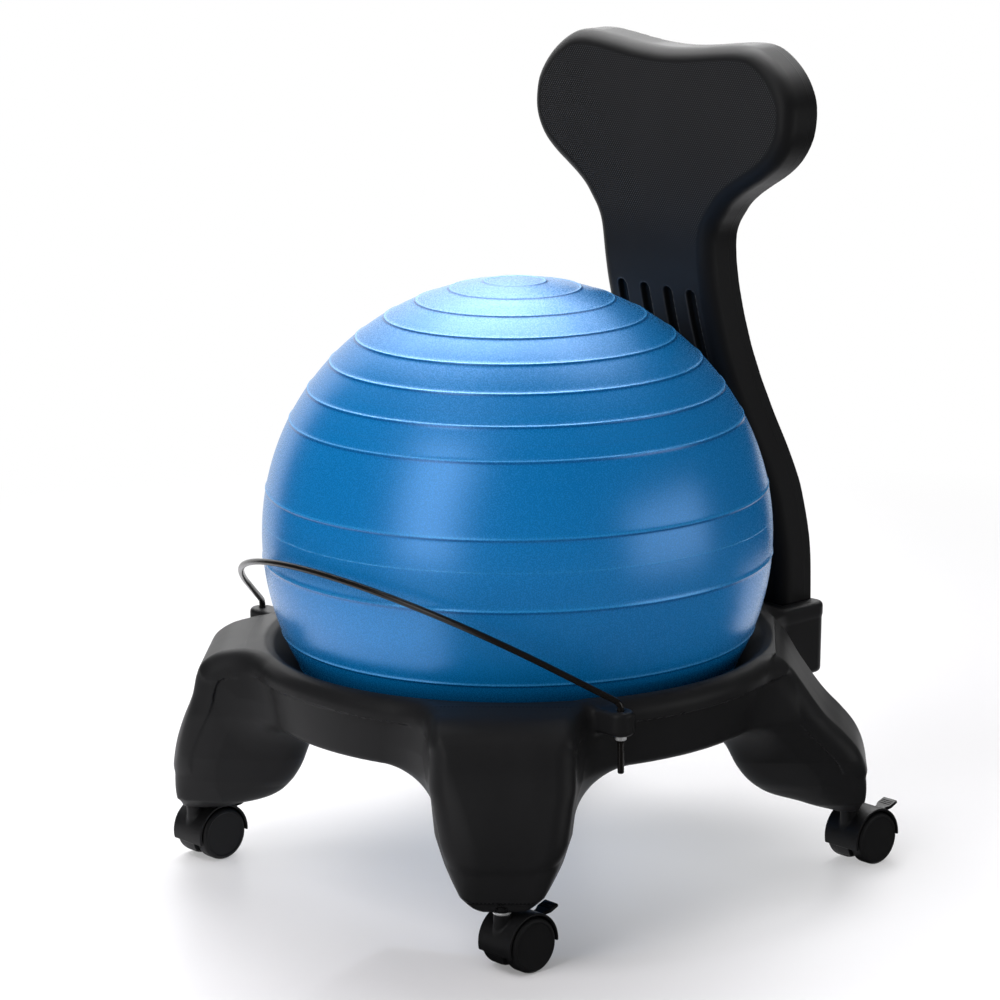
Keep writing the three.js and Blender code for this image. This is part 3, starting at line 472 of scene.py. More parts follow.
# %% One point in each cube
def cube_points(field, cells):
    """The middle of the places where the surface cuts each cube's edges, in cubes."""
    total = np.zeros((len(cells), 3))
    hits = np.zeros(len(cells))
    starts = [(i, j, k) for i in (0, 1) for j in (0, 1) for k in (0, 1)]
    for start in starts:
        for axis in range(3):
            if start[axis]:
                continue
            end = tuple(value + (axis == place) for place, value in enumerate(start))
            first = field[tuple((cells + start).T)]
            second = field[tuple((cells + end).T)]
            changes = (first < 0) != (second < 0)
            share = np.where(changes, first / np.where(changes, first - second, 1), 0)
            point = np.array(start, float) + np.eye(3)[axis] * share[:, None]
            total += np.where(changes[:, None], point, 0)
            hits += changes
    return cells + total / hits[:, None]


# %% Faces between the cubes
def cube_faces(inside, number):
    """One four-sided face round each edge of the grid that the surface crosses."""
    faces = []
    counts = inside.shape
    for axis in range(3):
        one, two = (axis + 1) % 3, (axis + 2) % 3
        first = inside[tuple(slice(1 if a != axis else 0, c - 1) for a, c in enumerate(counts))]
        ahead = inside[tuple(slice(1, c - 1 if a != axis else c) for a, c in enumerate(counts))]
        edges = np.argwhere(first != ahead)
        place = edges + np.array([0 if a == axis else 1 for a in range(3)])
        outward = first[tuple(edges.T)]
        corners = []
        for back_one, back_two in ((1, 1), (0, 1), (0, 0), (1, 0)):
            corner = place.copy()
            corner[:, one] -= back_one
            corner[:, two] -= back_two
            corners.append(number[tuple(corner.T)])
        face = np.stack(corners, 1)
        face[~outward] = face[~outward][:, ::-1]
        faces.append(face)
    return np.concatenate(faces)


# %% Moving points onto the surface
def slope_of(distance, points, reach):
    """The direction in which the distance grows, and the distance itself."""
    x, y, z = points.T
    slope = np.stack([
        distance(x + reach, y, z) - distance(x - reach, y, z),
        distance(x, y + reach, z) - distance(x, y - reach, z),
        distance(x, y, z + reach) - distance(x, y, z - reach),
    ], 1) / (2 * reach)
    return slope, distance(x, y, z)


def settle(distance, points, step, rounds=2):
    """Moves the points onto the surface, at most half a cube at a time."""
    for _ in range(rounds):
        slope, height = slope_of(distance, points, step / 6)
        length = np.maximum(np.linalg.norm(slope, axis=1), 0.3)
        move = -slope * (height / length**2)[:, None]
        far = np.maximum(np.linalg.norm(move, axis=1) / (step / 2), 1)
        points = points + move / far[:, None]
    return points


def evened(points, faces):
    """Moves each point halfway to the middle of its neighbours."""
    total = np.zeros_like(points)
    counts = np.zeros(len(points))
    for shift in (1, 3):
        neighbours = np.roll(faces, shift, 1)
        for axis in range(3):
            total[:, axis] += np.bincount(faces.ravel(), points[neighbours.ravel(), axis], len(points))
        counts += np.bincount(faces.ravel(), minlength=len(points))
    return (points + total / counts[:, None]) / 2


# %% The whole surface
def skin_of(distance, low, high, step):
    """Points and faces of the surface where the distance is zero."""
    field, corner = crossed_cubes(distance, low, high, step)
    inside = field < 0
    counts = inside.shape
    held = np.zeros([count - 1 for count in counts], np.int8)
    for i in (0, 1):
        for j in (0, 1):
            for k in (0, 1):
                held += inside[i:counts[0] - 1 + i, j:counts[1] - 1 + j, k:counts[2] - 1 + k]
    crossed = (held > 0) & (held < 8)
    cells = np.argwhere(crossed)
    number = np.full(crossed.shape, -1, int)
    number[crossed] = np.arange(len(cells))
    points = corner + step * cube_points(field, cells)
    faces = cube_faces(inside, number)
    points = settle(distance, points, step)
    for _ in range(2):
        points = settle(distance, evened(points, faces), step)
    return points, faces


marble_points, marble_faces = skin_of(marble, (-10, -10, -10), (10, 10, 10), 2.0)
furthest = np.abs(marble(*marble_points.T)).max()
print("the ball has", len(marble_faces), "faces, and no point is more than", round(furthest, 4), "mm off")


# %% [markdown]
# The finished points become a Blender mesh in metres. Thinning joins faces where the surface is
# nearly flat and leaves them small at creases. The shading directions are then taken from the
# distance itself, so thinned faces don't show in a reflection.

# %% A mesh from points
def mesh_of(name, points, faces):
    """A smooth object from points in millimetres and lists of corner numbers."""
    mesh = bpy.data.meshes.new(name)
    mesh.from_pydata((np.array(points) * mm).tolist(), [], faces)
    mesh.update()
    mesh.shade_smooth()
    return linked(bpy.data.objects.new(name, mesh))


def points_of(made):
    """The points of a mesh in millimetres, one row each."""
    places = np.empty(len(made.data.vertices) * 3)
    made.data.vertices.foreach_get("co", places)
    return places.reshape(-1, 3) / mm


def finished(made):
    """The object's mesh with its modifiers worked in, and the modifiers gone."""
    bpy.context.view_layer.update()
    view = bpy.context.evaluated_depsgraph_get()
    mesh = bpy.data.meshes.new_from_object(made.evaluated_get(view))
    made.modifiers.clear()
    made.data = mesh
    return made


def carved(name, distance, low, high, step, most_triangles=190000):
    """A piece whose surface lies where the distance is zero."""
    points, faces = skin_of(distance, low, high, step)
    made = mesh_of(name, points, faces.tolist())
    triangles = 2 * len(faces)
    if triangles > most_triangles:
        thin = made.modifiers.new("thin", "DECIMATE")
        thin.ratio = most_triangles / triangles
        finished(made)
    mesh = made.data
    places = settle(distance, points_of(made), step)
    mesh.vertices.foreach_set("co", (places * mm).ravel())
    mesh.update()
    mesh.shade_smooth()
    slope, _ = slope_of(distance, places, step / 3)
    normals = slope / np.maximum(np.linalg.norm(slope, axis=1), 1e-6)[:, None]
    mesh.normals_split_custom_set_from_vertices(normals.tolist())
    mesh.calc_loop_triangles()
    print(name, len(mesh.vertices), "points,", len(mesh.loop_triangles), "triangles")
    return made


def middle_of(node):
    """The middle of a CAD node's box, in millimetres."""
    low, high = box_mm(node)
    return (low + high) / 2


print("shape tools ready")


# %% [markdown]
# ## Finishes
# Every finish is made from formulas on the object's own place, so it stays with the piece when a
# joint turns. Black plastic lives from its reflections: a moulded skin has a fine grain, faint
# flow streaks and slow waves, and each is a small change of roughness or of the surface's slope.

# %% Tools for finishes
def placed_noise(tree, place, scale, detail=2.0, stretch=(1, 1, 1)):
    """Soft random values from 0 to 1 with that many lumps a metre."""
    if stretch != (1, 1, 1):
        place = tree.node("ShaderNodeVectorMath", {"operation": "MULTIPLY"}, [place, stretch])
    return tree.node("ShaderNodeTexNoise", values={
        "Vector": place, "Scale": scale, "Detail": detail, "Roughness": 0.55})


def blended(tree, share, first, second):
    """A colour between two colours."""
    return tree.node("ShaderNodeMix", {"data_type": "RGBA"}, {
        0: share, 6: first if isinstance(first, Wire) else (*first, 1),
        7: second if isinstance(second, Wire) else (*second, 1)}, output=2)


def bumped(tree, height, depth_mm, strength=1.0):
    """The surface's slope for a height from 0 to 1 that stands for that many millimetres."""
    return tree.node("ShaderNodeBump", values={
        "Strength": strength, "Distance": depth_mm * mm, "Height": height})


def shaded(tree, **values):
    """Closes a material, its shader's sockets named with _ for each space."""
    shader = tree.node("ShaderNodeBsdfPrincipled", values={
        name.replace("_", " "): value for name, value in values.items()})
    tree.node("ShaderNodeOutputMaterial", values=[shader])


def object_place(tree):
    """The place on the object, and its three parts in millimetres."""
    place = tree.node("ShaderNodeTexCoord", output="Object")
    return place, [axis / mm for axis in tree.parts(place)]


def kept_length(tree, name):
    """A length in millimetres that is kept with the points of the mesh."""
    return tree.node("ShaderNodeAttribute", {"attribute_name": name}, output="Fac")


print("tools for finishes ready")


# %% Blow-moulded black plastic of the base
def make_base_plastic():
    made, tree = new_material("base_plastic")
    place, _ = object_place(tree)
    streaks = placed_noise(tree, place, 28, 3, (1, 1, 0.18))
    waves = placed_noise(tree, place, 22, 1)
    grain = placed_noise(tree, place, 1500, 2)
    colour = blended(tree, streaks, (0.0085, 0.0085, 0.009), (0.0122, 0.0122, 0.013))
    roughness = 0.35 + streaks * 0.1 + grain * 0.05
    height = grain * 0.05 + waves * 0.9 + streaks * 0.25
    shaded(tree, Base_Color=colour, Roughness=roughness, Specular_IOR_Level=0.14,
           Normal=bumped(tree, height, 0.5, 0.6))
    return made


# %% Textured black plastic of the backrest
dot_pitch, dot_rows = 2.9, 2.0
weave_pitch = 2.2


def make_backrest_plastic():
    made, tree = new_material("backrest_plastic")
    place, (x, _, z) = object_place(tree)
    edge, depth, groove = (kept_length(tree, name) for name in ("edge", "depth", "groove"))
    face = (depth * -1).share(20.0, 20.7) * edge.share(13, 15)
    head = z.share(585, 625)
    neck = (1 - head) * z.share(330, 350)

    row = z / dot_rows
    shift = (row.whole() / 2).fraction()
    dot_x = ((x / dot_pitch + shift).fraction() - 0.5) * dot_pitch
    dot_z = (row.fraction() - 0.5) * dot_rows
    away = (dot_x * dot_x + dot_z * dot_z) ** 0.5
    dots = (1 - away.share(0.4, 0.95)) * head * face

    rising = ((x + z) * (math.tau / weave_pitch)).sine()
    falling = ((x - z) * (math.tau / weave_pitch)).sine()
    weave = (rising * falling * 0.5 + 0.5) * neck * face

    seam, step = ((depth - place).size().share(0.3, 0.8) for place in (9.5, 12))
    parting = 1 - seam + (1 - step) * 0.6
    grain = placed_noise(tree, place, 1400, 2)
    waves = placed_noise(tree, place, 16, 1)
    streaks = placed_noise(tree, place, 30, 3, (1, 1, 0.2))
    plain = blended(tree, streaks, (0.0055, 0.0055, 0.006), (0.008, 0.008, 0.0086))
    # Painted highlight: the rims of the grooves, the dots on the head and the weave on the neck are
    # painted lighter than the plastic, as glints; the dots and the weave are raised in the bump as well.
    painted_lip_highlight = (1 - (groove - 0.9).size().share(0.4, 1.0)) * (depth * -1).share(17, 19)
    colour = blended(tree, dots + weave * 0.22 + painted_lip_highlight * 0.7, plain, (0.04, 0.04, 0.042))
    roughness = 0.42 + grain * 0.06 + streaks * 0.06 - dots * 0.1
    height = dots * 0.3 + weave * 0.2 + grain * 0.03 + waves * 0.8 + parting * 0.25
    shaded(tree, Base_Color=colour, Roughness=roughness, Specular_IOR_Level=0.18,
           Normal=bumped(tree, height, 0.5, 0.7))
    return made


# %% [markdown]
# Small parts each have their own finish too: the bar is dipped in gloss black, the nuts, bolts and
# collars are zinc plated, and the casters are two blacks of nylon.

# %% Coated bar, zinc, brass and pale plastic
def make_bar_coating():
    made, tree = new_material("bar_coating")
    place, (_, _, z) = object_place(tree)
    peel = placed_noise(tree, place, 420, 2)
    patches = placed_noise(tree, place, 40, 2)
    thread = ((z * math.tau).sine() * 0.5 + 0.5) * (1 - z.share(196, 200))
    colour = blended(tree, patches, (0.0045, 0.004, 0.0038), (0.009, 0.0075, 0.0065))
    shaded(tree, Base_Color=colour, Roughness=0.2 + patches * 0.1,
           Specular_IOR_Level=0.3, Coat_Weight=0.12, Coat_Roughness=0.12,
           Normal=bumped(tree, peel * 0.15 + thread, 0.3, 0.6))
    return made


def make_metal(name, dark_tone, light_tone, roughness):
    made, tree = new_material(name)
    place, _ = object_place(tree)
    clouds = placed_noise(tree, place, 160, 3)
    grain = placed_noise(tree, place, 2400, 2)
    shaded(tree, Base_Color=blended(tree, clouds, dark_tone, light_tone), Metallic=0.75,
           Roughness=roughness + clouds * 0.12 + grain * 0.04,
           Normal=bumped(tree, grain * 0.6 + clouds * 0.4, 0.04, 0.5))
    return made


def make_moulded(name, dark_tone, light_tone, roughness, grain_scale):
    """A small moulded part with a fine etched grain."""
    made, tree = new_material(name)
    place, _ = object_place(tree)
    clouds = placed_noise(tree, place, 120, 3)
    grain = placed_noise(tree, place, grain_scale, 2)
    shaded(tree, Base_Color=blended(tree, clouds, dark_tone, light_tone),
           Roughness=roughness + clouds * 0.08 + grain * 0.08, Specular_IOR_Level=0.2,
           Normal=bumped(tree, grain, 0.08, 0.5))
    return made


finishes = {
    "base_plastic": make_base_plastic(),
    "backrest_plastic": make_backrest_plastic(),
    "plug_plastic": make_moulded("plug_plastic", (0.62, 0.63, 0.64), (0.78, 0.79, 0.8), 0.45, 1500),
    "bar_coating": make_bar_coating(),
    "zinc": make_metal("zinc", (0.66, 0.67, 0.69), (0.84, 0.84, 0.83), 0.34),
    "brass": make_metal("brass", (0.50, 0.36, 0.13), (0.62, 0.47, 0.20), 0.28),
    "caster_nylon": make_moulded(
        "caster_nylon", (0.005, 0.005, 0.0054), (0.008, 0.008, 0.0088), 0.38, 1800),
    "wheel_nylon": make_moulded(
        "wheel_nylon", (0.006, 0.006, 0.0064), (0.009, 0.009, 0.0098), 0.46, 1400),
}
print(len(finishes), "finishes ready")


# %% A finish and a body for each piece
def fitted(made, body, replaced, slot):
    """Gives a piece its body and the finish of its slot, and hides the CAD nodes that it replaces."""
    made.data.materials.clear()
    made.data.materials.append(finishes[slot])
    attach(made, body)
    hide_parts(*replaced)


# %% [markdown]
# ## The base
# The base is one hollow blow-moulded shell: a ring with a cone inside for the ball, four legs, a
# pocket for the backrest and two ears for the bar. The front legs carry their full height out to
# the shoulder, and the rear legs fall away in a hollow curve. A band round the rim and a panel down
# each leg stand a little proud of the rest. Everything below is measured from the ball's upright
# axis: "along" runs out along a leg, "side" runs across it, and "reach" is the distance to the axis.

# %% Main sizes of the base
base_low, base_high = box_mm("base_frame")
foot = base_low[2]
rim_top = base_high[2]
rim_radius = 257.5
rim_width = 18
band_bottom = rim_top - 22.5
ring_bottom = rim_top - 67.5
lip_radius = 179.2
cone_run = (201.8, ring_bottom + 28.3)
bowl_edge = rim_radius - rim_width
skirt_foot = 246.9
skirt_top = 252.4
ear_x, ear_y = 257.7, -109.4
print("rim", round(2 * rim_radius), "mm across, feet at", round(foot, 1), "mm")


# %% Profiles of the legs
# The inner side of a front and of a rear leg, from the toe up into the ring.
front_under = Template(smooth_outline([
    (400, foot), (400, foot), (316, foot), (300, foot + 1.5), (270, foot + 8), (237, foot + 18),
    (218.5, foot + 33), (204.5, foot + 58), (199, foot + 83), (190, foot + 108), (184, foot + 150),
    (184, foot + 240), (184, foot + 240), (400, foot + 240), (400, foot + 240),
]))
rear_under = Template(smooth_outline([
    (400, foot), (400, foot), (318, foot), (302, foot + 4), (272, foot + 14.5), (239, foot + 24),
    (220, foot + 38), (206, foot + 60), (199, foot + 84), (190, foot + 108), (184, foot + 150),
    (184, foot + 240), (184, foot + 240), (400, foot + 240), (400, foot + 240),
]))
# The outer side, seen along the leg. The front one has a square shoulder.
front_over = Template(smooth_outline([
    (0, -60), (0, -60), (0, rim_top), (0, rim_top), (236, rim_top), (252, rim_top), (266, rim_top - 1.4),
    (284, rim_top - 6), (299, rim_top - 16), (306, rim_top - 30), (311.5, rim_top - 52),
    (323, rim_top - 80), (331, rim_top - 105), (335, rim_top - 130), (335.5, rim_top - 150),
    (333, rim_top - 164), (328, foot - 4), (322, -60), (322, -60),
]))
rear_over = Template(smooth_outline([
    (0, -60), (0, -60), (0, rim_top), (0, rim_top), (236, rim_top), (245, rim_top - 2),
    (257, rim_top - 12), (274, rim_top - 38), (294, rim_top - 66), (312.5, rim_top - 85),
    (326, rim_top - 102), (334, rim_top - 122), (336.5, rim_top - 143), (335, rim_top - 160),
    (330, foot - 4), (322, -60), (322, -60),
]))


# Half the width of a leg at heights above its foot.
leg_widths = {0: 27, 3: 33, 13: 43.5, 37: 54, 61: 62, 91: 66, 105: 68.5}


def leg_half_width(height):
    return np.interp(height - foot, list(leg_widths), list(leg_widths.values()))


print("legs", 2 * leg_half_width(foot), "mm wide at the foot,", 2 * leg_half_width(rim_top), "at the top")


# %% The bowl under the ball
bowl = Template([
    (-80, 100), (lip_radius, 100), (lip_radius, ring_bottom), cone_run, (bowl_edge, rim_top),
    (bowl_edge, rim_top + 70), (-80, rim_top + 70),
])


def web(reach, height):
    """The ring without its top: a slanted skirt and a flat underside."""
    lean = (skirt_top - skirt_foot) / (band_bottom - ring_bottom)
    skirt = (reach - skirt_foot - lean * (height - ring_bottom)) / math.hypot(1, lean)
    return shared(skirt, ring_bottom - height, 7)


print("profiles drawn")


# %% [markdown]
# The raised band and panels are a second, slightly larger shape inside a chosen region. The region's
# edge is the crease that the eye follows from the rim down the side of each leg.

# %% Sizes of the raised parts, the slot and the holes
panel_half_width = 57
panel_foot = 30
panel_corner = 28
panel_depth = 22
panel_step = 2.0
panel_inner = 16
raise_height = 2.2
raised_rounding = 16
shoulder_fillet = 45
shoulder_spread, shoulder_run = 7, 45
plan_half = axis_y - base_low[1]
slot_half_width, slot_middle, slot_half_depth, slot_floor = 78.6, 305, 21.6, 154.5
bar_hole_radius = 3.4
stem_hole_radius, stem_hole_depth = 7.4, 41
print("slot", 2 * slot_half_width, "x", 2 * slot_half_depth, "mm for the backrest")


# %% Legs, ring and raised parts
def legs_and_ring(x, y, z):
    """The ring, the four legs, and the raised band and panels."""
    reach = np.hypot(x, y)
    along = (np.abs(x) + np.abs(y)) * math.sqrt(0.5)
    side = np.abs(np.abs(x) - np.abs(y)) * math.sqrt(0.5)
    over = np.where(y < 0, front_over(along, z), rear_over(along, z))
    under = np.where(y < 0, front_under(along, z), rear_under(along, z))

    wall = side - leg_half_width(z) + shoulder_spread * np.clip(1 + over / shoulder_run, 0, 1)
    inner_rounding = np.interp(z - foot, [0, 30], [6, 20])
    outer_rounding = np.interp(z - foot, [0, 40], [4, 18])
    leg = shared(wall, under, inner_rounding)
    core = joined(web(reach, z), leg, shoulder_fillet)
    core = shared(core, over + raise_height, outer_rounding)

    band = joined(reach - rim_radius, side - panel_half_width, shoulder_fillet)
    band = np.maximum(band, band_bottom - z)
    panel = shared(wall - panel_step, foot + panel_foot - z, panel_corner)
    panel = np.maximum(np.maximum(panel, -over - panel_depth), under + panel_inner)
    raised = shared(joined(band, panel, 14), over, raised_rounding)
    return shared(joined(core, raised, 0.9), -y - plan_half, raised_rounding)


# %% Pocket and ears
def pocket_block(x, y, z):
    """The pocket from outside. It narrows downwards, and less at its thin rear wall."""
    inner, half_width, back, bottom, top, corner = 232, 96, 330.5, 147, 220.5, 12
    taper, rear_share, collar_bottom, collar_step = 0.022, 0.25, 208, 0.9
    inset = (top - z) * taper + collar_step * np.clip((collar_bottom - z) / 4, 0, 1)
    rear = y - back + inset * rear_share
    plan = shared(np.abs(x) - half_width + inset, np.maximum(rear, inner - y), corner)
    return shared(plan, np.maximum(z - top, bottom - z), 5)


def ear(x, y, z):
    """The two round-ended ears that carry the bar."""
    root_x, radius, height = 225, 12.3, 22.6
    top = rim_top - 2.7
    nearest = np.clip(np.abs(x), root_x, ear_x)
    plan = np.hypot(np.abs(x) - nearest, y - ear_y) - radius
    return shared(plan, np.maximum(z - top, top - height - z), 4)


# %% The whole base as one distance
stems = [middle_of(name)[:2] - (0, axis_y) for name in nodes if name.endswith("_stem")]


def base_shape(x, y, z):
    """Distance to the base, with x and y from the ball's axis and z from the floor."""
    body = legs_and_ring(x, y, z)
    pocket_fillet = np.interp(z, [160, 200], [18, 36])
    body = joined(body, pocket_block(x, y, z), pocket_fillet)
    body = joined(body, ear(x, y, z), 8)
    reach = np.hypot(x, y)
    body = without(body, bowl(reach, z), 6)
    slot = np.maximum(np.abs(x) - slot_half_width, np.abs(y - slot_middle) - slot_half_depth)
    body = without(body, np.maximum(slot, slot_floor - z), 1.5)
    hole = np.hypot(np.abs(x) - ear_x, y - ear_y) - bar_hole_radius
    body = without(body, hole, 0.8)
    for place_x, place_y in stems:
        bore = np.hypot(x - place_x, y - place_y) - stem_hole_radius
        body = without(body, np.maximum(bore, z - foot - stem_hole_depth), 0.6)
    return body


def base_in_place(x, y, z):
    """The same, with y from the frame's own middle."""
    return base_shape(x, y - axis_y, z)


base_step = 2.5
base = carved("base", base_in_place, base_low, base_high, base_step)
fitted(base, "base", ["base_frame"], "base_plastic")


# %% [markdown]
# ## The backrest
# The backrest is a second blow-moulded shell, 42 mm thick. Its stem stands upright in the pocket,
# leans forward over the ball and widens into a head with two lobes. Four grooves, pinched in from
# the front, stiffen the lean. One flat outline gives the front view and one curve gives the side
# view, so the whole shape is the outline's distance and the thickness's distance, rounded together.

# %% Outline and lean of the backrest
backrest_low, backrest_high = box_mm("backrest")
thickness = 42
stem_back = backrest_high[1] - axis_y
right_side = [
    (78, 154.8), (78, 154.8), (78, 245), (77.5, 285), (76, 330), (75.4, 380), (75.4, 450),
    (75.4, 520), (75.6, 560), (76, 582), (77.6, 600), (82, 612), (89, 622), (98.5, 633.5),
    (111, 643.5), (126, 653), (142.5, 663), (158, 675), (169, 689), (175.4, 704), (177, 720),
    (175, 736), (168, 750.5), (156.5, 764.5), (141, 776.5), (125, 784.2), (109, 786.6),
    (92, 786.1), (70, 783.8), (45, 780.7), (22, 778.6),
]
saddle = (0, 777.8)
left_side = [(-x, z) for x, z in reversed(right_side)]
backrest_front = Template(smooth_outline([*right_side, saddle, *left_side]))

# How far forward the back face stands at each height.
lean = {
    154: 0, 245: 0, 262: 0.4, 282: 2, 300: 5, 318: 8.8, 336: 13.6, 355: 21.8, 375: 31.4,
    411: 50.6, 448: 68.4, 483: 82.6, 518: 93.4, 548: 100.6, 575: 104.8, 600: 106.6, 630: 107,
    652: 106.6, 688: 104, 722: 100.6, 757: 97, 790: 95.5,
}
fine_heights = np.arange(150, 792, 2.0)
fine_places = np.interp(fine_heights, list(lean), list(lean.values()))
lean_rounds = 24
for _ in range(lean_rounds):
    fine_places[1:-1] = (fine_places[:-2] + 2 * fine_places[1:-1] + fine_places[2:]) / 4
print("backrest", round(2 * max(x for x, _ in right_side)), "mm wide, leans", max(lean.values()), "mm")


# %% The whole backrest as one distance
groove_places = [-47.7, -15.9, 15.9, 47.7]
groove_low, groove_high = 340, 547
groove_width = 12
groove_depth = 8
front_rounding = 15
back_rounding = 2.5
bolt_x, bolt_z = 45, 186.8
insert_radius, insert_depth = 5.3, 20


def backrest_depth(y, z):
    """How far behind the middle of the thickness a place lies, at right angles to it."""
    back = stem_back - np.interp(z, fine_heights, fine_places)
    slope = np.interp(z + 3, fine_heights, fine_places) - np.interp(z - 3, fine_heights, fine_places)
    return (y - back + thickness / 2) / np.hypot(1, slope / 6)


def groove_distance(x, z, middles):
    """How far a place on the front lies from the nearest groove."""
    end = groove_width / 2
    nearest = np.clip(z, groove_low + end, groove_high - end)
    return np.min([np.hypot(x - middle, z - nearest) for middle in middles], 0) - end


def backrest_shape(x, y, z):
    """Distance to the backrest: its outline and its thickness, rounded together."""
    depth = backrest_depth(y - axis_y, z)
    edge = backrest_front(x, z)
    body = shared(edge, -depth - thickness / 2, front_rounding)
    body = shared(body, depth - thickness / 2, back_rounding)
    for middle in groove_places:
        groove = groove_distance(x, z, [middle])
        body = without(body, shared(groove, depth + thickness / 2 - groove_depth, 3), 1.4)
    for place_x in (-bolt_x, bolt_x):
        bore = np.hypot(x - place_x, z - bolt_z) - insert_radius
        body = without(body, np.maximum(bore, thickness / 2 - insert_depth - depth), 0.5)
    return body


backrest_step = 2.0
backrest = carved("backrest_shell", backrest_shape, backrest_low, backrest_high, backrest_step)


# %% [markdown]
# The finish changes from the front face to the edges, so each point of the mesh keeps three lengths
# that the material reads: how far it lies inside the outline, how far back in the thickness, and
# how far from the nearest groove.

# %% Lengths for the finish
def keep_lengths(made, **lengths):
    """Stores numbers, in millimetres, with the points of a mesh."""
    for name, values in lengths.items():
        kept = made.data.attributes.new(name, "FLOAT", "POINT")
        kept.data.foreach_set("value", np.array(values, np.float32))


x, y, z = points_of(backrest).T
keep_lengths(backrest, edge=-backrest_front(x, z), depth=backrest_depth(y - axis_y, z),
             groove=groove_distance(x, z, groove_places))
fitted(backrest, "base", ["backrest"], "backrest_plastic")
print("backrest in place")


# %% [markdown]
# ## Ball
# The ball is an inflated vinyl skin. Raised ribs run round it, each with a thin painted highlight
# above it and a thin painted shade below it, and the skin between two ribs is pulled a little flat, so
# the outline has a slight corner at each rib. The ribs lie nearly a fixed angle apart. The first one
# above the seam sits a little low, and so do those under it. A rule like that suits Geometry Nodes: a
# flat grid is bent into a ball, its rows are crowded together at the ribs, and one formula gives each row
# its height.

# %% Ball sizes
ball_radius = 244.0
ball_middle = (ball_low[2] + ball_high[2]) / 2
seam_latitude = 4.4
rib_pitch = 7.87
rib_height = 0.8
rib_half_width = 1.6
rib_arc = ball_radius * math.radians(rib_pitch)
rib_shift = 0.11
rib_spread = 0.12
band_hollow = 0.06
ball_skin = 1.6
ball_columns = 256
rows_each_band = 14
row_crowding = 0.93
first_band, last_band = -12.5, 11.5
valve_radius = 4.0
valve_latitude = -math.acos(valve_radius / ball_radius)
print("ball middle", round(ball_middle, 1), "mm up, ribs every", rib_pitch, "degrees")


# %% Blue vinyl of the ball
def make_ball_vinyl():
    made, tree = new_material("ball_vinyl")
    place, _ = object_place(tree)
    from_seam, from_rib = kept_length(tree, "from_seam"), kept_length(tree, "from_rib")

    wander = (placed_noise(tree, place, 90, 3) - 0.5) * 1.6
    seam = 1 - (from_seam + wander).size().share(0.25, 0.8)
    broken = placed_noise(tree, place, 220, 2).share(0.35, 0.6)
    seam = seam * (0.35 + broken * 0.65)
    # Painted highlight above each rib and painted shade below it.
    lit_edge = 1 - (from_rib - 0.9).size().share(0.3, 0.9)
    painted_shade_edge = 1 - (from_rib + 1.4).size().share(0.4, 1.3)

    grain = placed_noise(tree, place, 850, 2)
    fine = placed_noise(tree, place, 2600, 1)
    clouds = placed_noise(tree, place, 9, 2)
    wrinkles = placed_noise(tree, place, 26, 2, (1, 1, 0.35))
    deep, bright = (0.0, 0.165, 0.470), (0.0, 0.205, 0.540)
    colour = blended(tree, clouds * 0.6 + grain * 0.4, deep, bright)
    # The seam is drawn as a lighter broken line. The painted highlight above each rib uses the same
    # lighter blue, and the painted shade below it a darker blue.
    colour = blended(tree, seam * 0.6 + lit_edge * 0.45, colour, (0.05, 0.36, 0.74))
    colour = blended(tree, painted_shade_edge * 0.75, colour, (0.0, 0.075, 0.27))
    roughness = 0.14 + grain * 0.22 + clouds * 0.04
    height = grain * 0.22 + fine * 0.08 + seam * 0.5 + wrinkles * 0.25
    shaded(tree, Base_Color=colour, Metallic=0.25, Roughness=roughness, Specular_IOR_Level=0.85,
           Normal=bumped(tree, height, 0.6, 0.55))
    return made


finishes["ball_vinyl"] = make_ball_vinyl()
print("vinyl has", len(finishes["ball_vinyl"].node_tree.nodes), "nodes")


# %% Making and using a modifier tree
def nodes_tree(name, inputs):
    """A new modifier tree, its formulas, its named inputs as wires, and their identifiers."""
    group = bpy.data.node_groups.new(name, "GeometryNodeTree")
    group.is_modifier = True
    names = {}
    for label, (kind, value) in inputs.items():
        socket = group.interface.new_socket(label, in_out="INPUT", socket_type=kind)
        if value is not None:
            socket.default_value = value
        names[label] = socket.identifier
    group.interface.new_socket("Geometry", in_out="OUTPUT", socket_type="NodeSocketGeometry")
    tree = Tree(group)
    entry = group.nodes.new("NodeGroupInput")
    wires = {label: Wire(tree, entry.outputs[label]) for label in inputs}
    return group, tree, wires, names


def close_tree(tree, shape, material):
    """Realizes the instances, sets the material and gives the geometry out."""
    real = tree.node("GeometryNodeRealizeInstances", values={"Geometry": shape})
    coated = tree.node("GeometryNodeSetMaterial", values={"Geometry": real, "Material": material})
    tree.node("NodeGroupOutput", values=[coated])


def grown(name, group, names, values, points=(), edges=()):
    """An object whose mesh is what the tree makes with these values, perhaps from a line."""
    mesh = bpy.data.meshes.new(name)
    mesh.from_pydata([tuple(point * mm) for point in points], list(edges), [])
    made = linked(bpy.data.objects.new(name, mesh))
    modifier = made.modifiers.new("shape", "NODES")
    modifier.node_group = group
    for label, value in values.items():
        modifier[names[label]] = value
    finished(made)
    made.data.name = name
    made.data.calc_loop_triangles()
    print(name, len(made.data.loop_triangles), "triangles")
    return made


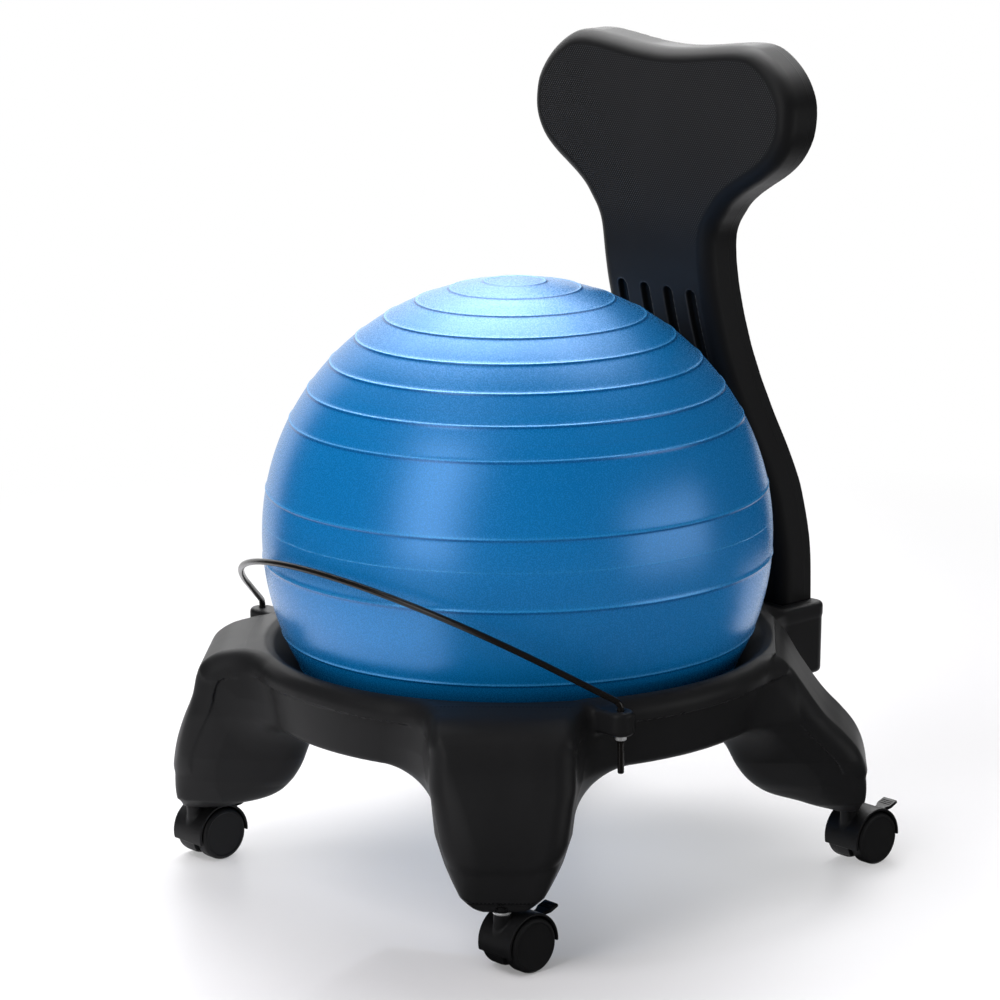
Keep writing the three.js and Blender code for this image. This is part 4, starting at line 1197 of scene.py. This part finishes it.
# %% A tree that bends a grid into the ribbed ball
def ball_tree():
    """Bends a grid into the ball. One unit of a band runs from one rib to the next."""
    group, tree, wires, names = nodes_tree("ribbed_ball", {
        "Radius": ("NodeSocketFloat", 0.244), "Rib Height": ("NodeSocketFloat", 0.0009),
        "Rib Half Width": ("NodeSocketFloat", 0.0016), "Band Hollow": ("NodeSocketFloat", 0.0004),
        "Skin": ("NodeSocketFloat", 0.0016), "Columns": ("NodeSocketInt", 256),
        "Rows": ("NodeSocketInt", 336), "Middle": ("NodeSocketVector", (0, 0, 0)),
        "Material": ("NodeSocketMaterial", None)})
    radius = wires["Radius"]
    grid = tree.node("GeometryNodeMeshGrid", values={
        "Size X": 1.0, "Size Y": 1.0,
        "Vertices X": wires["Columns"], "Vertices Y": wires["Rows"]})
    across, along, _ = tree.parts(tree.node("GeometryNodeInputPosition"))
    longitude = (across + 0.5) * math.tau
    band = (along + 0.5) * (last_band - first_band) + first_band
    crowded = band - (band * math.tau).sine() * (row_crowding / math.tau)
    raised = (1 - (crowded - 1).size()).most(0) * rib_shift
    lowered = (crowded * -1 - 0.4).most(0).least(3.2) * rib_spread
    latitude = ((crowded - raised - lowered) * rib_pitch + seam_latitude) * (math.pi / 180)
    held = latitude.most(valve_latitude).least(math.pi / 2)
    under = ((valve_latitude - latitude) * 20.0).held()

    number = crowded.maths("ROUND", crowded)
    upper = number.above(2.5) * number.below(10.5)
    middle = (number.size() - 1).size().below(0.5)
    lower = number.above(-4.5) * number.below(-2.5)
    has_rib = upper + middle + lower
    apart = (crowded - number).size() * (rib_pitch * math.pi / 180) * radius
    hump = (1 - (apart / wires["Rib Half Width"]).least(1) ** 2) ** 2
    rib = hump * has_rib * wires["Rib Height"]

    single = crowded.fraction()
    double = ((crowded + 1) / 2).fraction()
    wide = crowded.size().below(3)
    share = single + (double - single) * wide
    ribbed = crowded.above(-4) * crowded.below(10)
    hollow = share * (1 - share) * 4 * ribbed * wires["Band Hollow"]

    distance = radius + rib - hollow - under * wires["Skin"]
    flat = held.cosine() * distance
    place = tree.vector(longitude.cosine() * flat, longitude.sine() * flat, held.sine() * distance)
    moved = tree.node("ShaderNodeVectorMath", {"operation": "ADD"}, [place, wires["Middle"]])
    kept = grid
    lengths = {"from_seam": crowded * rib_arc,
               "from_rib": (crowded - number) * rib_arc + (1 - has_rib) * 50}
    for label, value in lengths.items():
        kept = tree.node(
            "GeometryNodeStoreNamedAttribute", {"data_type": "FLOAT", "domain": "POINT"},
            {"Geometry": kept, "Name": label, "Value": value})
    bent = tree.node("GeometryNodeSetPosition", values={"Geometry": kept, "Position": moved})
    sewn = tree.node("GeometryNodeMergeByDistance", values={"Geometry": bent, "Distance": 0.00001})
    smooth = tree.node("GeometryNodeSetShadeSmooth", values={"Geometry": sewn, "Shade Smooth": True})
    close_tree(tree, smooth, wires["Material"])
    return group, names


# %% The ball
ball_group, ball_names = ball_tree()
ball = grown("ball_skin", ball_group, ball_names, {
    "Radius": ball_radius * mm, "Rib Height": rib_height * mm,
    "Rib Half Width": rib_half_width * mm, "Band Hollow": band_hollow * mm,
    "Skin": ball_skin * mm, "Columns": ball_columns + 1,
    "Rows": int((last_band - first_band) * rows_each_band) + 1,
    "Middle": (0.0, axis_y * mm, ball_middle * mm), "Material": finishes["ball_vinyl"]})
fitted(ball, "ball", ["ball"], "ball_vinyl")


# %% [markdown]
# ## Restraint bar
# The bar is one steel rod, 6 mm thick. It is a hoop in a tilted plane round the front of the ball,
# and each end bends straight down through an ear and is held by a nut. Its middle line is worked
# out point by point, and Geometry Nodes sweep a round section along it.

# %% The bar's middle line
bar_radius = 3.0
ear_top = rim_top - 1.3
ear_height = 24
bar_tail = 36
bar_bend = 9
bar_tilt = math.radians(35)
bar_rise = 5.4
front_reach = 253.2
round_share = 0.953


def bar_line(hoop_steps=72, bend_steps=14):
    """Points along the rod from tail to tail, from the ball's axis, in millimetres."""
    depth = (front_reach + ear_y) / math.cos(bar_tilt)
    hoop_radius = round_share * (ear_x**2 + depth**2) / (2 * depth)

    def placed(x, along):
        up = (depth - along) * math.sin(bar_tilt)
        return np.array([x, along * math.cos(bar_tilt) - front_reach, ear_top + bar_rise + up])

    to_ear = math.hypot(ear_x, depth - hoop_radius)
    touch = (math.pi / 2 + math.atan2(depth - hoop_radius, ear_x)) - math.acos(hoop_radius / to_ear)
    half = [placed(hoop_radius * math.sin(angle), hoop_radius * (1 - math.cos(angle)))
            for angle in np.linspace(0, touch, hoop_steps)]
    corner = placed(ear_x, depth)
    ahead = (corner - half[-1]) / np.linalg.norm(corner - half[-1])
    down = np.array([0.0, 0.0, -1.0])
    turn = math.acos(ahead @ down)
    start = corner - ahead * bar_bend * math.tan(turn / 2)
    side = down - ahead * (ahead @ down)
    side /= np.linalg.norm(side)
    for angle in np.linspace(0, turn, bend_steps):
        half.append(start + ahead * bar_bend * math.sin(angle) + side * bar_bend * (1 - math.cos(angle)))
    tip = ear_top - ear_height - bar_tail
    half.append(np.array([ear_x, ear_y, tip + 1]))
    half.append(np.array([ear_x, ear_y, tip]))
    mirrored = [point * (-1, 1, 1) for point in half[1:]]
    return np.array(mirrored[::-1] + half)


middle_line = bar_line() + np.array([0, axis_y, 0])
lengths = np.linalg.norm(np.diff(middle_line, axis=0), axis=1)
print("bar", round(lengths.sum()), "mm long when straight")


# %% A tree that sweeps a rod along a line
def rod_tree():
    """Sweeps a round section along a line and makes it a little thinner at both tips."""
    group, tree, wires, names = nodes_tree("bent_rod", {
        "Line": ("NodeSocketGeometry", None), "Radius": ("NodeSocketFloat", 0.003),
        "Sides": ("NodeSocketInt", 28), "Tip": ("NodeSocketFloat", 0.8),
        "Material": ("NodeSocketMaterial", None)})
    line = tree.node("GeometryNodeMeshToCurve", values={"Mesh": wires["Line"]})
    place = tree.node("GeometryNodeSplineParameter", output="Factor")
    nearest_end = (0.5 - (place - 0.5).size()) * 2
    taper = wires["Tip"] + (1 - wires["Tip"]) * nearest_end.share(0, 0.0015)
    ring = tree.node("GeometryNodeCurvePrimitiveCircle", values={
        "Resolution": wires["Sides"], "Radius": wires["Radius"]})
    swept = tree.node("GeometryNodeCurveToMesh", values={
        "Curve": line, "Profile Curve": ring, "Scale": taper, "Fill Caps": True})
    smooth = tree.node("GeometryNodeSetShadeSmooth", values={"Geometry": swept, "Shade Smooth": True})
    close_tree(tree, smooth, wires["Material"])
    return group, names


rod_group, rod_names = rod_tree()
bar_edges = [(index, index + 1) for index in range(len(middle_line) - 1)]
bar = grown("bent_bar", rod_group, rod_names, {
    "Radius": bar_radius * mm, "Sides": 28, "Tip": 0.8,
    "Material": finishes["bar_coating"]}, middle_line, bar_edges)
fitted(bar, "base", ["restraint_bar"], "bar_coating")


# %% [markdown]
# The nuts, bolts and washers are turned or cut from hexagon bar. A turned part is a profile spun
# round its axis, and a hexagon is six planes. Their bevelled corners come from a cone that cuts
# both, as on a real nut.

# %% Profiles with rounded corners
def rounded_profile(corners, steps=4):
    """Corners (radius, along, rounding), each rounding made an arc of that size."""
    points = []
    count = len(corners)
    for index, (radius, along, rounding) in enumerate(corners):
        corner = np.array([radius, along], float)
        if rounding == 0 or index in (0, count - 1):
            points.append(corner)
            continue
        before = np.array(corners[index - 1][:2], float) - corner
        after = np.array(corners[index + 1][:2], float) - corner
        before /= np.linalg.norm(before)
        after /= np.linalg.norm(after)
        half = math.acos(np.clip(before @ after, -1, 1)) / 2
        back = rounding / math.tan(half)
        centre = corner + (before + after) / np.linalg.norm(before + after) * rounding / math.sin(half)
        first, last = corner + before * back - centre, corner + after * back - centre
        for share in np.linspace(0, 1, steps + 1):
            arm = first * (1 - share) + last * share
            points.append(centre + arm * rounding / np.linalg.norm(arm))
    return np.array(points)


print("a rounded corner has", len(rounded_profile([(0, 0, 0), (5, 0, 1), (5, 5, 0)])) - 2, "points")


# %% Parts turned round an axis, and copies of a part
def turned(name, corners, sides=64, steps=4):
    """A solid turned round the Z axis. The corners run with the solid on their left."""
    profile = rounded_profile(corners, steps)
    angles = np.arange(sides) * math.tau / sides
    points, rows = [], []
    for radius, along in profile:
        if radius < 1e-6:
            rows.append([len(points)] * sides)
            points.append((0.0, 0.0, along))
            continue
        rows.append(list(range(len(points), len(points) + sides)))
        points += [(radius * math.cos(a), radius * math.sin(a), along) for a in angles]
    faces = []
    closed_ring = profile[0][0] > 1e-6
    pairs = list(zip(rows, rows[1:])) + ([(rows[-1], rows[0])] if closed_ring else [])
    for lower, upper in pairs:
        for index in range(sides):
            ahead = (index + 1) % sides
            face = [lower[index], lower[ahead], upper[ahead], upper[index]]
            face = [corner for place, corner in enumerate(face) if corner not in face[:place]]
            if len(face) > 2:
                faces.append(face)
    made = mesh_of(name, points, faces)
    made.data.set_sharp_from_angle(angle=math.radians(40))
    return made


def placed_copy(pattern, name, place, turn=None):
    """A copy of a piece whose mesh is turned and moved, the place in millimetres."""
    made = linked(bpy.data.objects.new(name, pattern.data.copy()))
    made.data.name = name
    move = Matrix.Translation(Vector(place) * mm)
    made.data.transform(move @ turn if turn else move)
    return made


# %% Nuts under the ears
nut_across, nut_height = 9.7, 4.5
across_corners = nut_across / math.cos(math.pi / 6)
nut_chamfer, chamfer_slope, slope_length = 0.75, 1.7, 1.97


def hexagon(x, y, across):
    """Distance to a hexagon, flat to flat that wide."""
    sides = [x * math.cos(a) + y * math.sin(a) for a in (0, math.pi / 3, 2 * math.pi / 3)]
    return np.max(np.abs(np.stack(sides)), axis=0) - across / 2


def nut_shape(x, y, z):
    """A nut round the Z axis, with bevelled corners and a hole for the rod."""
    reach = np.hypot(x, y)
    rise = np.abs(z) - nut_height / 2 + nut_chamfer
    cone = (reach - across_corners / 2 + rise * chamfer_slope) / slope_length
    body = shared(hexagon(x, y, nut_across), np.maximum(np.abs(z) - nut_height / 2, cone), 0.15)
    return without(body, reach - bar_radius - 0.15, 0.4)


nut_reach = across_corners / 2
pattern = carved("nut_pattern", nut_shape, (-nut_reach, -nut_reach, -nut_height / 2),
                 (nut_reach, nut_reach, nut_height / 2), 0.22, 16000)
for side in ("left", "right"):
    node = f"bar_nut_{side}"
    fitted(placed_copy(pattern, f"hex_nut_{side}", middle_of(node)), "base", [node], "zinc")
bpy.data.objects.remove(pattern)


# %% Bolts and washers at the rear
bolt_head, bolt_length = 3.6, 25.4
head_radius, dome_radius, shank_radius = 5.5, 7.2, 3.0
key_across, key_floor = 4.0, 1.4


def bolt_shape(x, y, z):
    """A pan head with a hexagon socket, its underside at zero and its shank below."""
    reach = np.hypot(x, y)
    dome = np.hypot(reach, z + dome_radius - bolt_head) - dome_radius
    head = shared(shared(reach - head_radius, dome, 0.5), -z, 0.3)
    head = without(head, np.maximum(hexagon(x, y, key_across), key_floor - z), 0.25)
    shank = shared(reach - shank_radius, np.maximum(z - 0.5, -z - bolt_length), 0.3)
    return joined(head, shank, 0.3)


pattern = carved("bolt_pattern", bolt_shape, (-head_radius, -head_radius, -bolt_length),
                 (head_radius, head_radius, bolt_head), 0.3, 24000)
washer_profile = [(3.3, -0.7, 0), (8, -0.7, 0.25), (8, 0.7, 0.25), (3.3, 0.7, 0)]
ring = turned("washer_pattern", washer_profile, 72)
quarter_turn = Matrix.Rotation(-math.pi / 2, 4, "X")
for side in ("left", "right"):
    washer, bolt = f"backrest_washer_{side}", f"backrest_bolt_{side}"
    place = middle_of(bolt)
    place[1] = box_mm(bolt)[1][1] - bolt_head
    made_bolt = placed_copy(pattern, f"pan_bolt_{side}", place, quarter_turn)
    fitted(made_bolt, "base", [bolt], "zinc")
    made_washer = placed_copy(ring, f"flat_washer_{side}", middle_of(washer), quarter_turn)
    fitted(made_washer, "base", [washer], "zinc")
bpy.data.objects.remove(pattern)
bpy.data.objects.remove(ring)
print("bar and screws in place")


# %% [markdown]
# ## Casters
# All four casters are alike: a moulded hood with a barrel for the stem, two wheels on one axle and
# a lever that is pressed down with the toe. Each kind of part is shaped once, on its own origin
# under the stem, and copied to the four places.

# %% Sizes of a caster
wheel_radius = 25.5
trail = 19.0
axle_up = box_mm("caster_front_left_axle")[0][2] + 3.0
hood_inner, hood_outer = 27.2, 29.7
hood_half = 21.5
body_half = 8.2
hood_top = box_mm("caster_front_left_hood")[1][2]
hood_start, hood_end = math.radians(-3), math.radians(194)
hood_rounding = 0.9
body_end = math.radians(218)
boss_radius, barrel_radius = 9.5, 8
stem_bore, stem_bore_depth = 4.2, 33.3
axle_bore, pin_bore = 3.2, 1.5
pocket_half = 6.4
pocket_start, pocket_end = math.radians(13), math.radians(68)
lever_reach, lever_turn = 23.4, math.radians(45)
lever_slope = math.radians(19.4)
pivot_back, pivot_up = lever_reach * math.cos(lever_turn), lever_reach * math.sin(lever_turn)
print("axle", round(axle_up, 1), "mm up, hood top", round(hood_top, 1))


# %% Hood
def round_wedge(y, z, start, end):
    """Distance to the part of the plane between two directions from the axle."""
    middle, half = (start + end) / 2, (end - start) / 2
    turn = np.arctan2(z, y)
    turn = (turn - middle + math.pi) % math.tau - math.pi
    reach = np.hypot(y, z)
    away = np.abs(turn) - half
    return reach * np.sin(np.clip(away, -math.pi / 2, math.pi / 2))


def hood_shape(x, y, z):
    """A round wall over the wheels, a body between them and a barrel for the stem."""
    back, up = y - trail, z - axle_up
    reach = np.hypot(back, up)
    wedge = round_wedge(back, up, hood_start, hood_end)
    middle_radius, half_wall = (hood_inner + hood_outer) / 2, (hood_outer - hood_inner) / 2
    wall = np.abs(reach - middle_radius) - half_wall
    shell = shared(shared(wall, np.abs(x) - hood_half, hood_rounding), wedge, 0.8)
    body_wedge = round_wedge(back, up, hood_start, body_end)
    boss = reach - boss_radius
    plate_shape = joined(shared(reach - middle_radius, body_wedge, 3), boss, 2)
    body = shared(plate_shape, np.abs(x) - body_half, 0.6)
    barrel = shared(np.hypot(x, y) - barrel_radius, np.maximum(z - hood_top, axle_up - z), 0.7)
    whole = joined(joined(shell, body, 1.2), barrel, 1.6)
    pocket_floor = lever_reach - 4.0
    pocket = np.maximum(pocket_floor - reach, round_wedge(back, up, pocket_start, pocket_end))
    whole = without(whole, np.maximum(pocket, np.abs(x) - pocket_half), 0.4)
    pin = np.hypot(back - pivot_back, up - pivot_up) - pin_bore
    whole = without(whole, np.minimum(pin, reach - axle_bore), 0.3)
    bore = np.maximum(np.hypot(x, y) - stem_bore, hood_top - stem_bore_depth - z)
    return without(whole, bore, 0.4)


hood_low = (-hood_half, trail - hood_outer, axle_up - hood_outer * 0.7)
hood_high = (hood_half, trail + hood_outer, hood_top)
hood = carved("hood_pattern", hood_shape, hood_low, hood_high, 0.6, 60000)


# %% Brake lever
tab_half, arm_half, lever_half = 8.8, 6.0, 1.8
lever_length, tab_length = 26.5, 13.2
near_rounding, tip_rounding = 4.5, 1.2
ridge_places, ridge_half, ridge_depth = (17.0, 19.6, 22.2), 0.45, 0.5
lever_barrel = 3.6


def lever_shape(x, y, z):
    """An arm with a wide tab that thins towards its tip and has three grooves across."""
    back, up = y - (trail + pivot_back), z - (axle_up + pivot_up)
    along = back * math.cos(lever_slope) + up * math.sin(lever_slope)
    above = up * math.cos(lever_slope) - back * math.sin(lever_slope)
    arm = np.maximum(np.abs(x) - arm_half, np.maximum(-along, along - lever_length + 4))
    tab_middle = lever_length - tab_length / 2
    near_corner = np.where(along < tab_middle, near_rounding, tip_rounding)
    tab_x = np.abs(x) - tab_half + near_corner
    tab_along = np.abs(along - tab_middle) - tab_length / 2 + near_corner
    tab = np.hypot(np.maximum(tab_x, 0), np.maximum(tab_along, 0)) - near_corner
    tab = np.minimum(np.maximum(tab_x, tab_along), 0) + tab
    flat = joined(arm, tab, 3)
    thick = lever_half - 0.9 * np.clip((along - 15) / 11.5, 0, 1)
    plate_shape = shared(flat, np.maximum(above - lever_half, -above - thick), 0.6)
    for place in ridge_places:
        ridge = np.maximum(np.abs(along - place) - ridge_half, np.abs(x) - 6.6)
        plate_shape = without(plate_shape, np.maximum(ridge, lever_half - ridge_depth - above), 0.2)
    barrel = np.maximum(np.hypot(back, up) - lever_barrel, np.abs(x) - arm_half)
    whole = joined(plate_shape, barrel, 1.0)
    return without(whole, np.hypot(back, up) - pin_bore, 0.2)


pivot = (trail + pivot_back, axle_up + pivot_up)
lever = carved("lever_pattern", lever_shape, (-tab_half, pivot[0] - 4, pivot[1] - 4),
               (tab_half, pivot[0] + lever_length, pivot[1] + 12), 0.45, 26000)


# %% Wheels and collar, turned
wheel_inner, wheel_outer = 8.6, 23.0
wheel_profile = [
    (0, wheel_outer - 2.4, 0), (3.3, wheel_outer - 2.4, 0.3), (3.3, wheel_inner, 0.4),
    (20, wheel_inner, 0.3), (20, wheel_inner + 0.5, 0.3), (22.5, wheel_inner + 0.5, 0.2),
    (22.5, wheel_inner, 0.2), (wheel_radius, wheel_inner, 1.8), (wheel_radius, wheel_outer, 3.4),
    (21.6, wheel_outer, 0.5), (20.9, wheel_outer - 0.7, 0.4), (0, wheel_outer - 0.7, 0),
]
wheel = turned("wheel_pattern", wheel_profile, 112)
collar_low = hood_top + 0.3
collar_profile = [
    (4.3, collar_low, 0), (8.2, collar_low, 0.4), (8.2, foot - 0.3, 0.5), (4.3, foot - 0.3, 0),
]
collar = turned("collar_pattern", collar_profile, 72)
sleeve_profile = [
    (4.3, foot - 0.2, 0), (7.2, foot - 0.2, 0.1), (7.0, foot + 36, 0.5), (4.3, foot + 36, 0),
]
sleeve = turned("sleeve_pattern", sleeve_profile, 48)
print("wheel", 2 * wheel_radius, "mm across and", round(wheel_outer - wheel_inner, 1), "mm wide")


# %% The four casters
for caster in ("front_left", "front_right", "rear_left", "rear_right"):
    prefix = f"caster_{caster}_"
    place = middle_of(prefix + "stem") * (1, 1, 0)
    parts = [
        (hood, "hood_shell", f"{caster}_fork", "hood", "caster_nylon"),
        (lever, "brake_tab", f"{caster}_brake", "brake_lever", "caster_nylon"),
        (collar, "flange", "base", "collar", "zinc"),
        (sleeve, "sleeve", "base", "socket", "caster_nylon"),
    ]
    for pattern, name, body, replaced, slot in parts:
        fitted(placed_copy(pattern, prefix + name, place), body, [prefix + replaced], slot)
    for side, turns in (("left", -1), ("right", 1)):
        turn = Matrix.Rotation(turns * math.pi / 2, 4, "Y")
        made = placed_copy(wheel, f"{prefix}disc_{side}", place + (0, trail, axle_up), turn)
        fitted(made, f"{caster}_wheel_{side}", [f"{prefix}wheel_{side}"], "wheel_nylon")
for pattern in (hood, lever, wheel, collar, sleeve):
    bpy.data.objects.remove(pattern)
print("casters in place")


# %% [markdown]
# ## Parts out of sight
# The stems, axles, brake pins, threaded inserts and the ball's valve plug keep the shape that the
# frame gives them, and get their finish here.

# %% Finishes of the parts that stay
slot_of = {"stem": "zinc", "axle": "zinc", "pin": "zinc", "insert": "brass", "plug": "plug_plastic"}
for name, node in nodes.items():
    for word, slot in slot_of.items():
        if word in name.split("_"):
            node.data.materials.clear()
            node.data.materials.append(finishes[slot])
print("all finishes set")


# %% [markdown]
# ## Closing
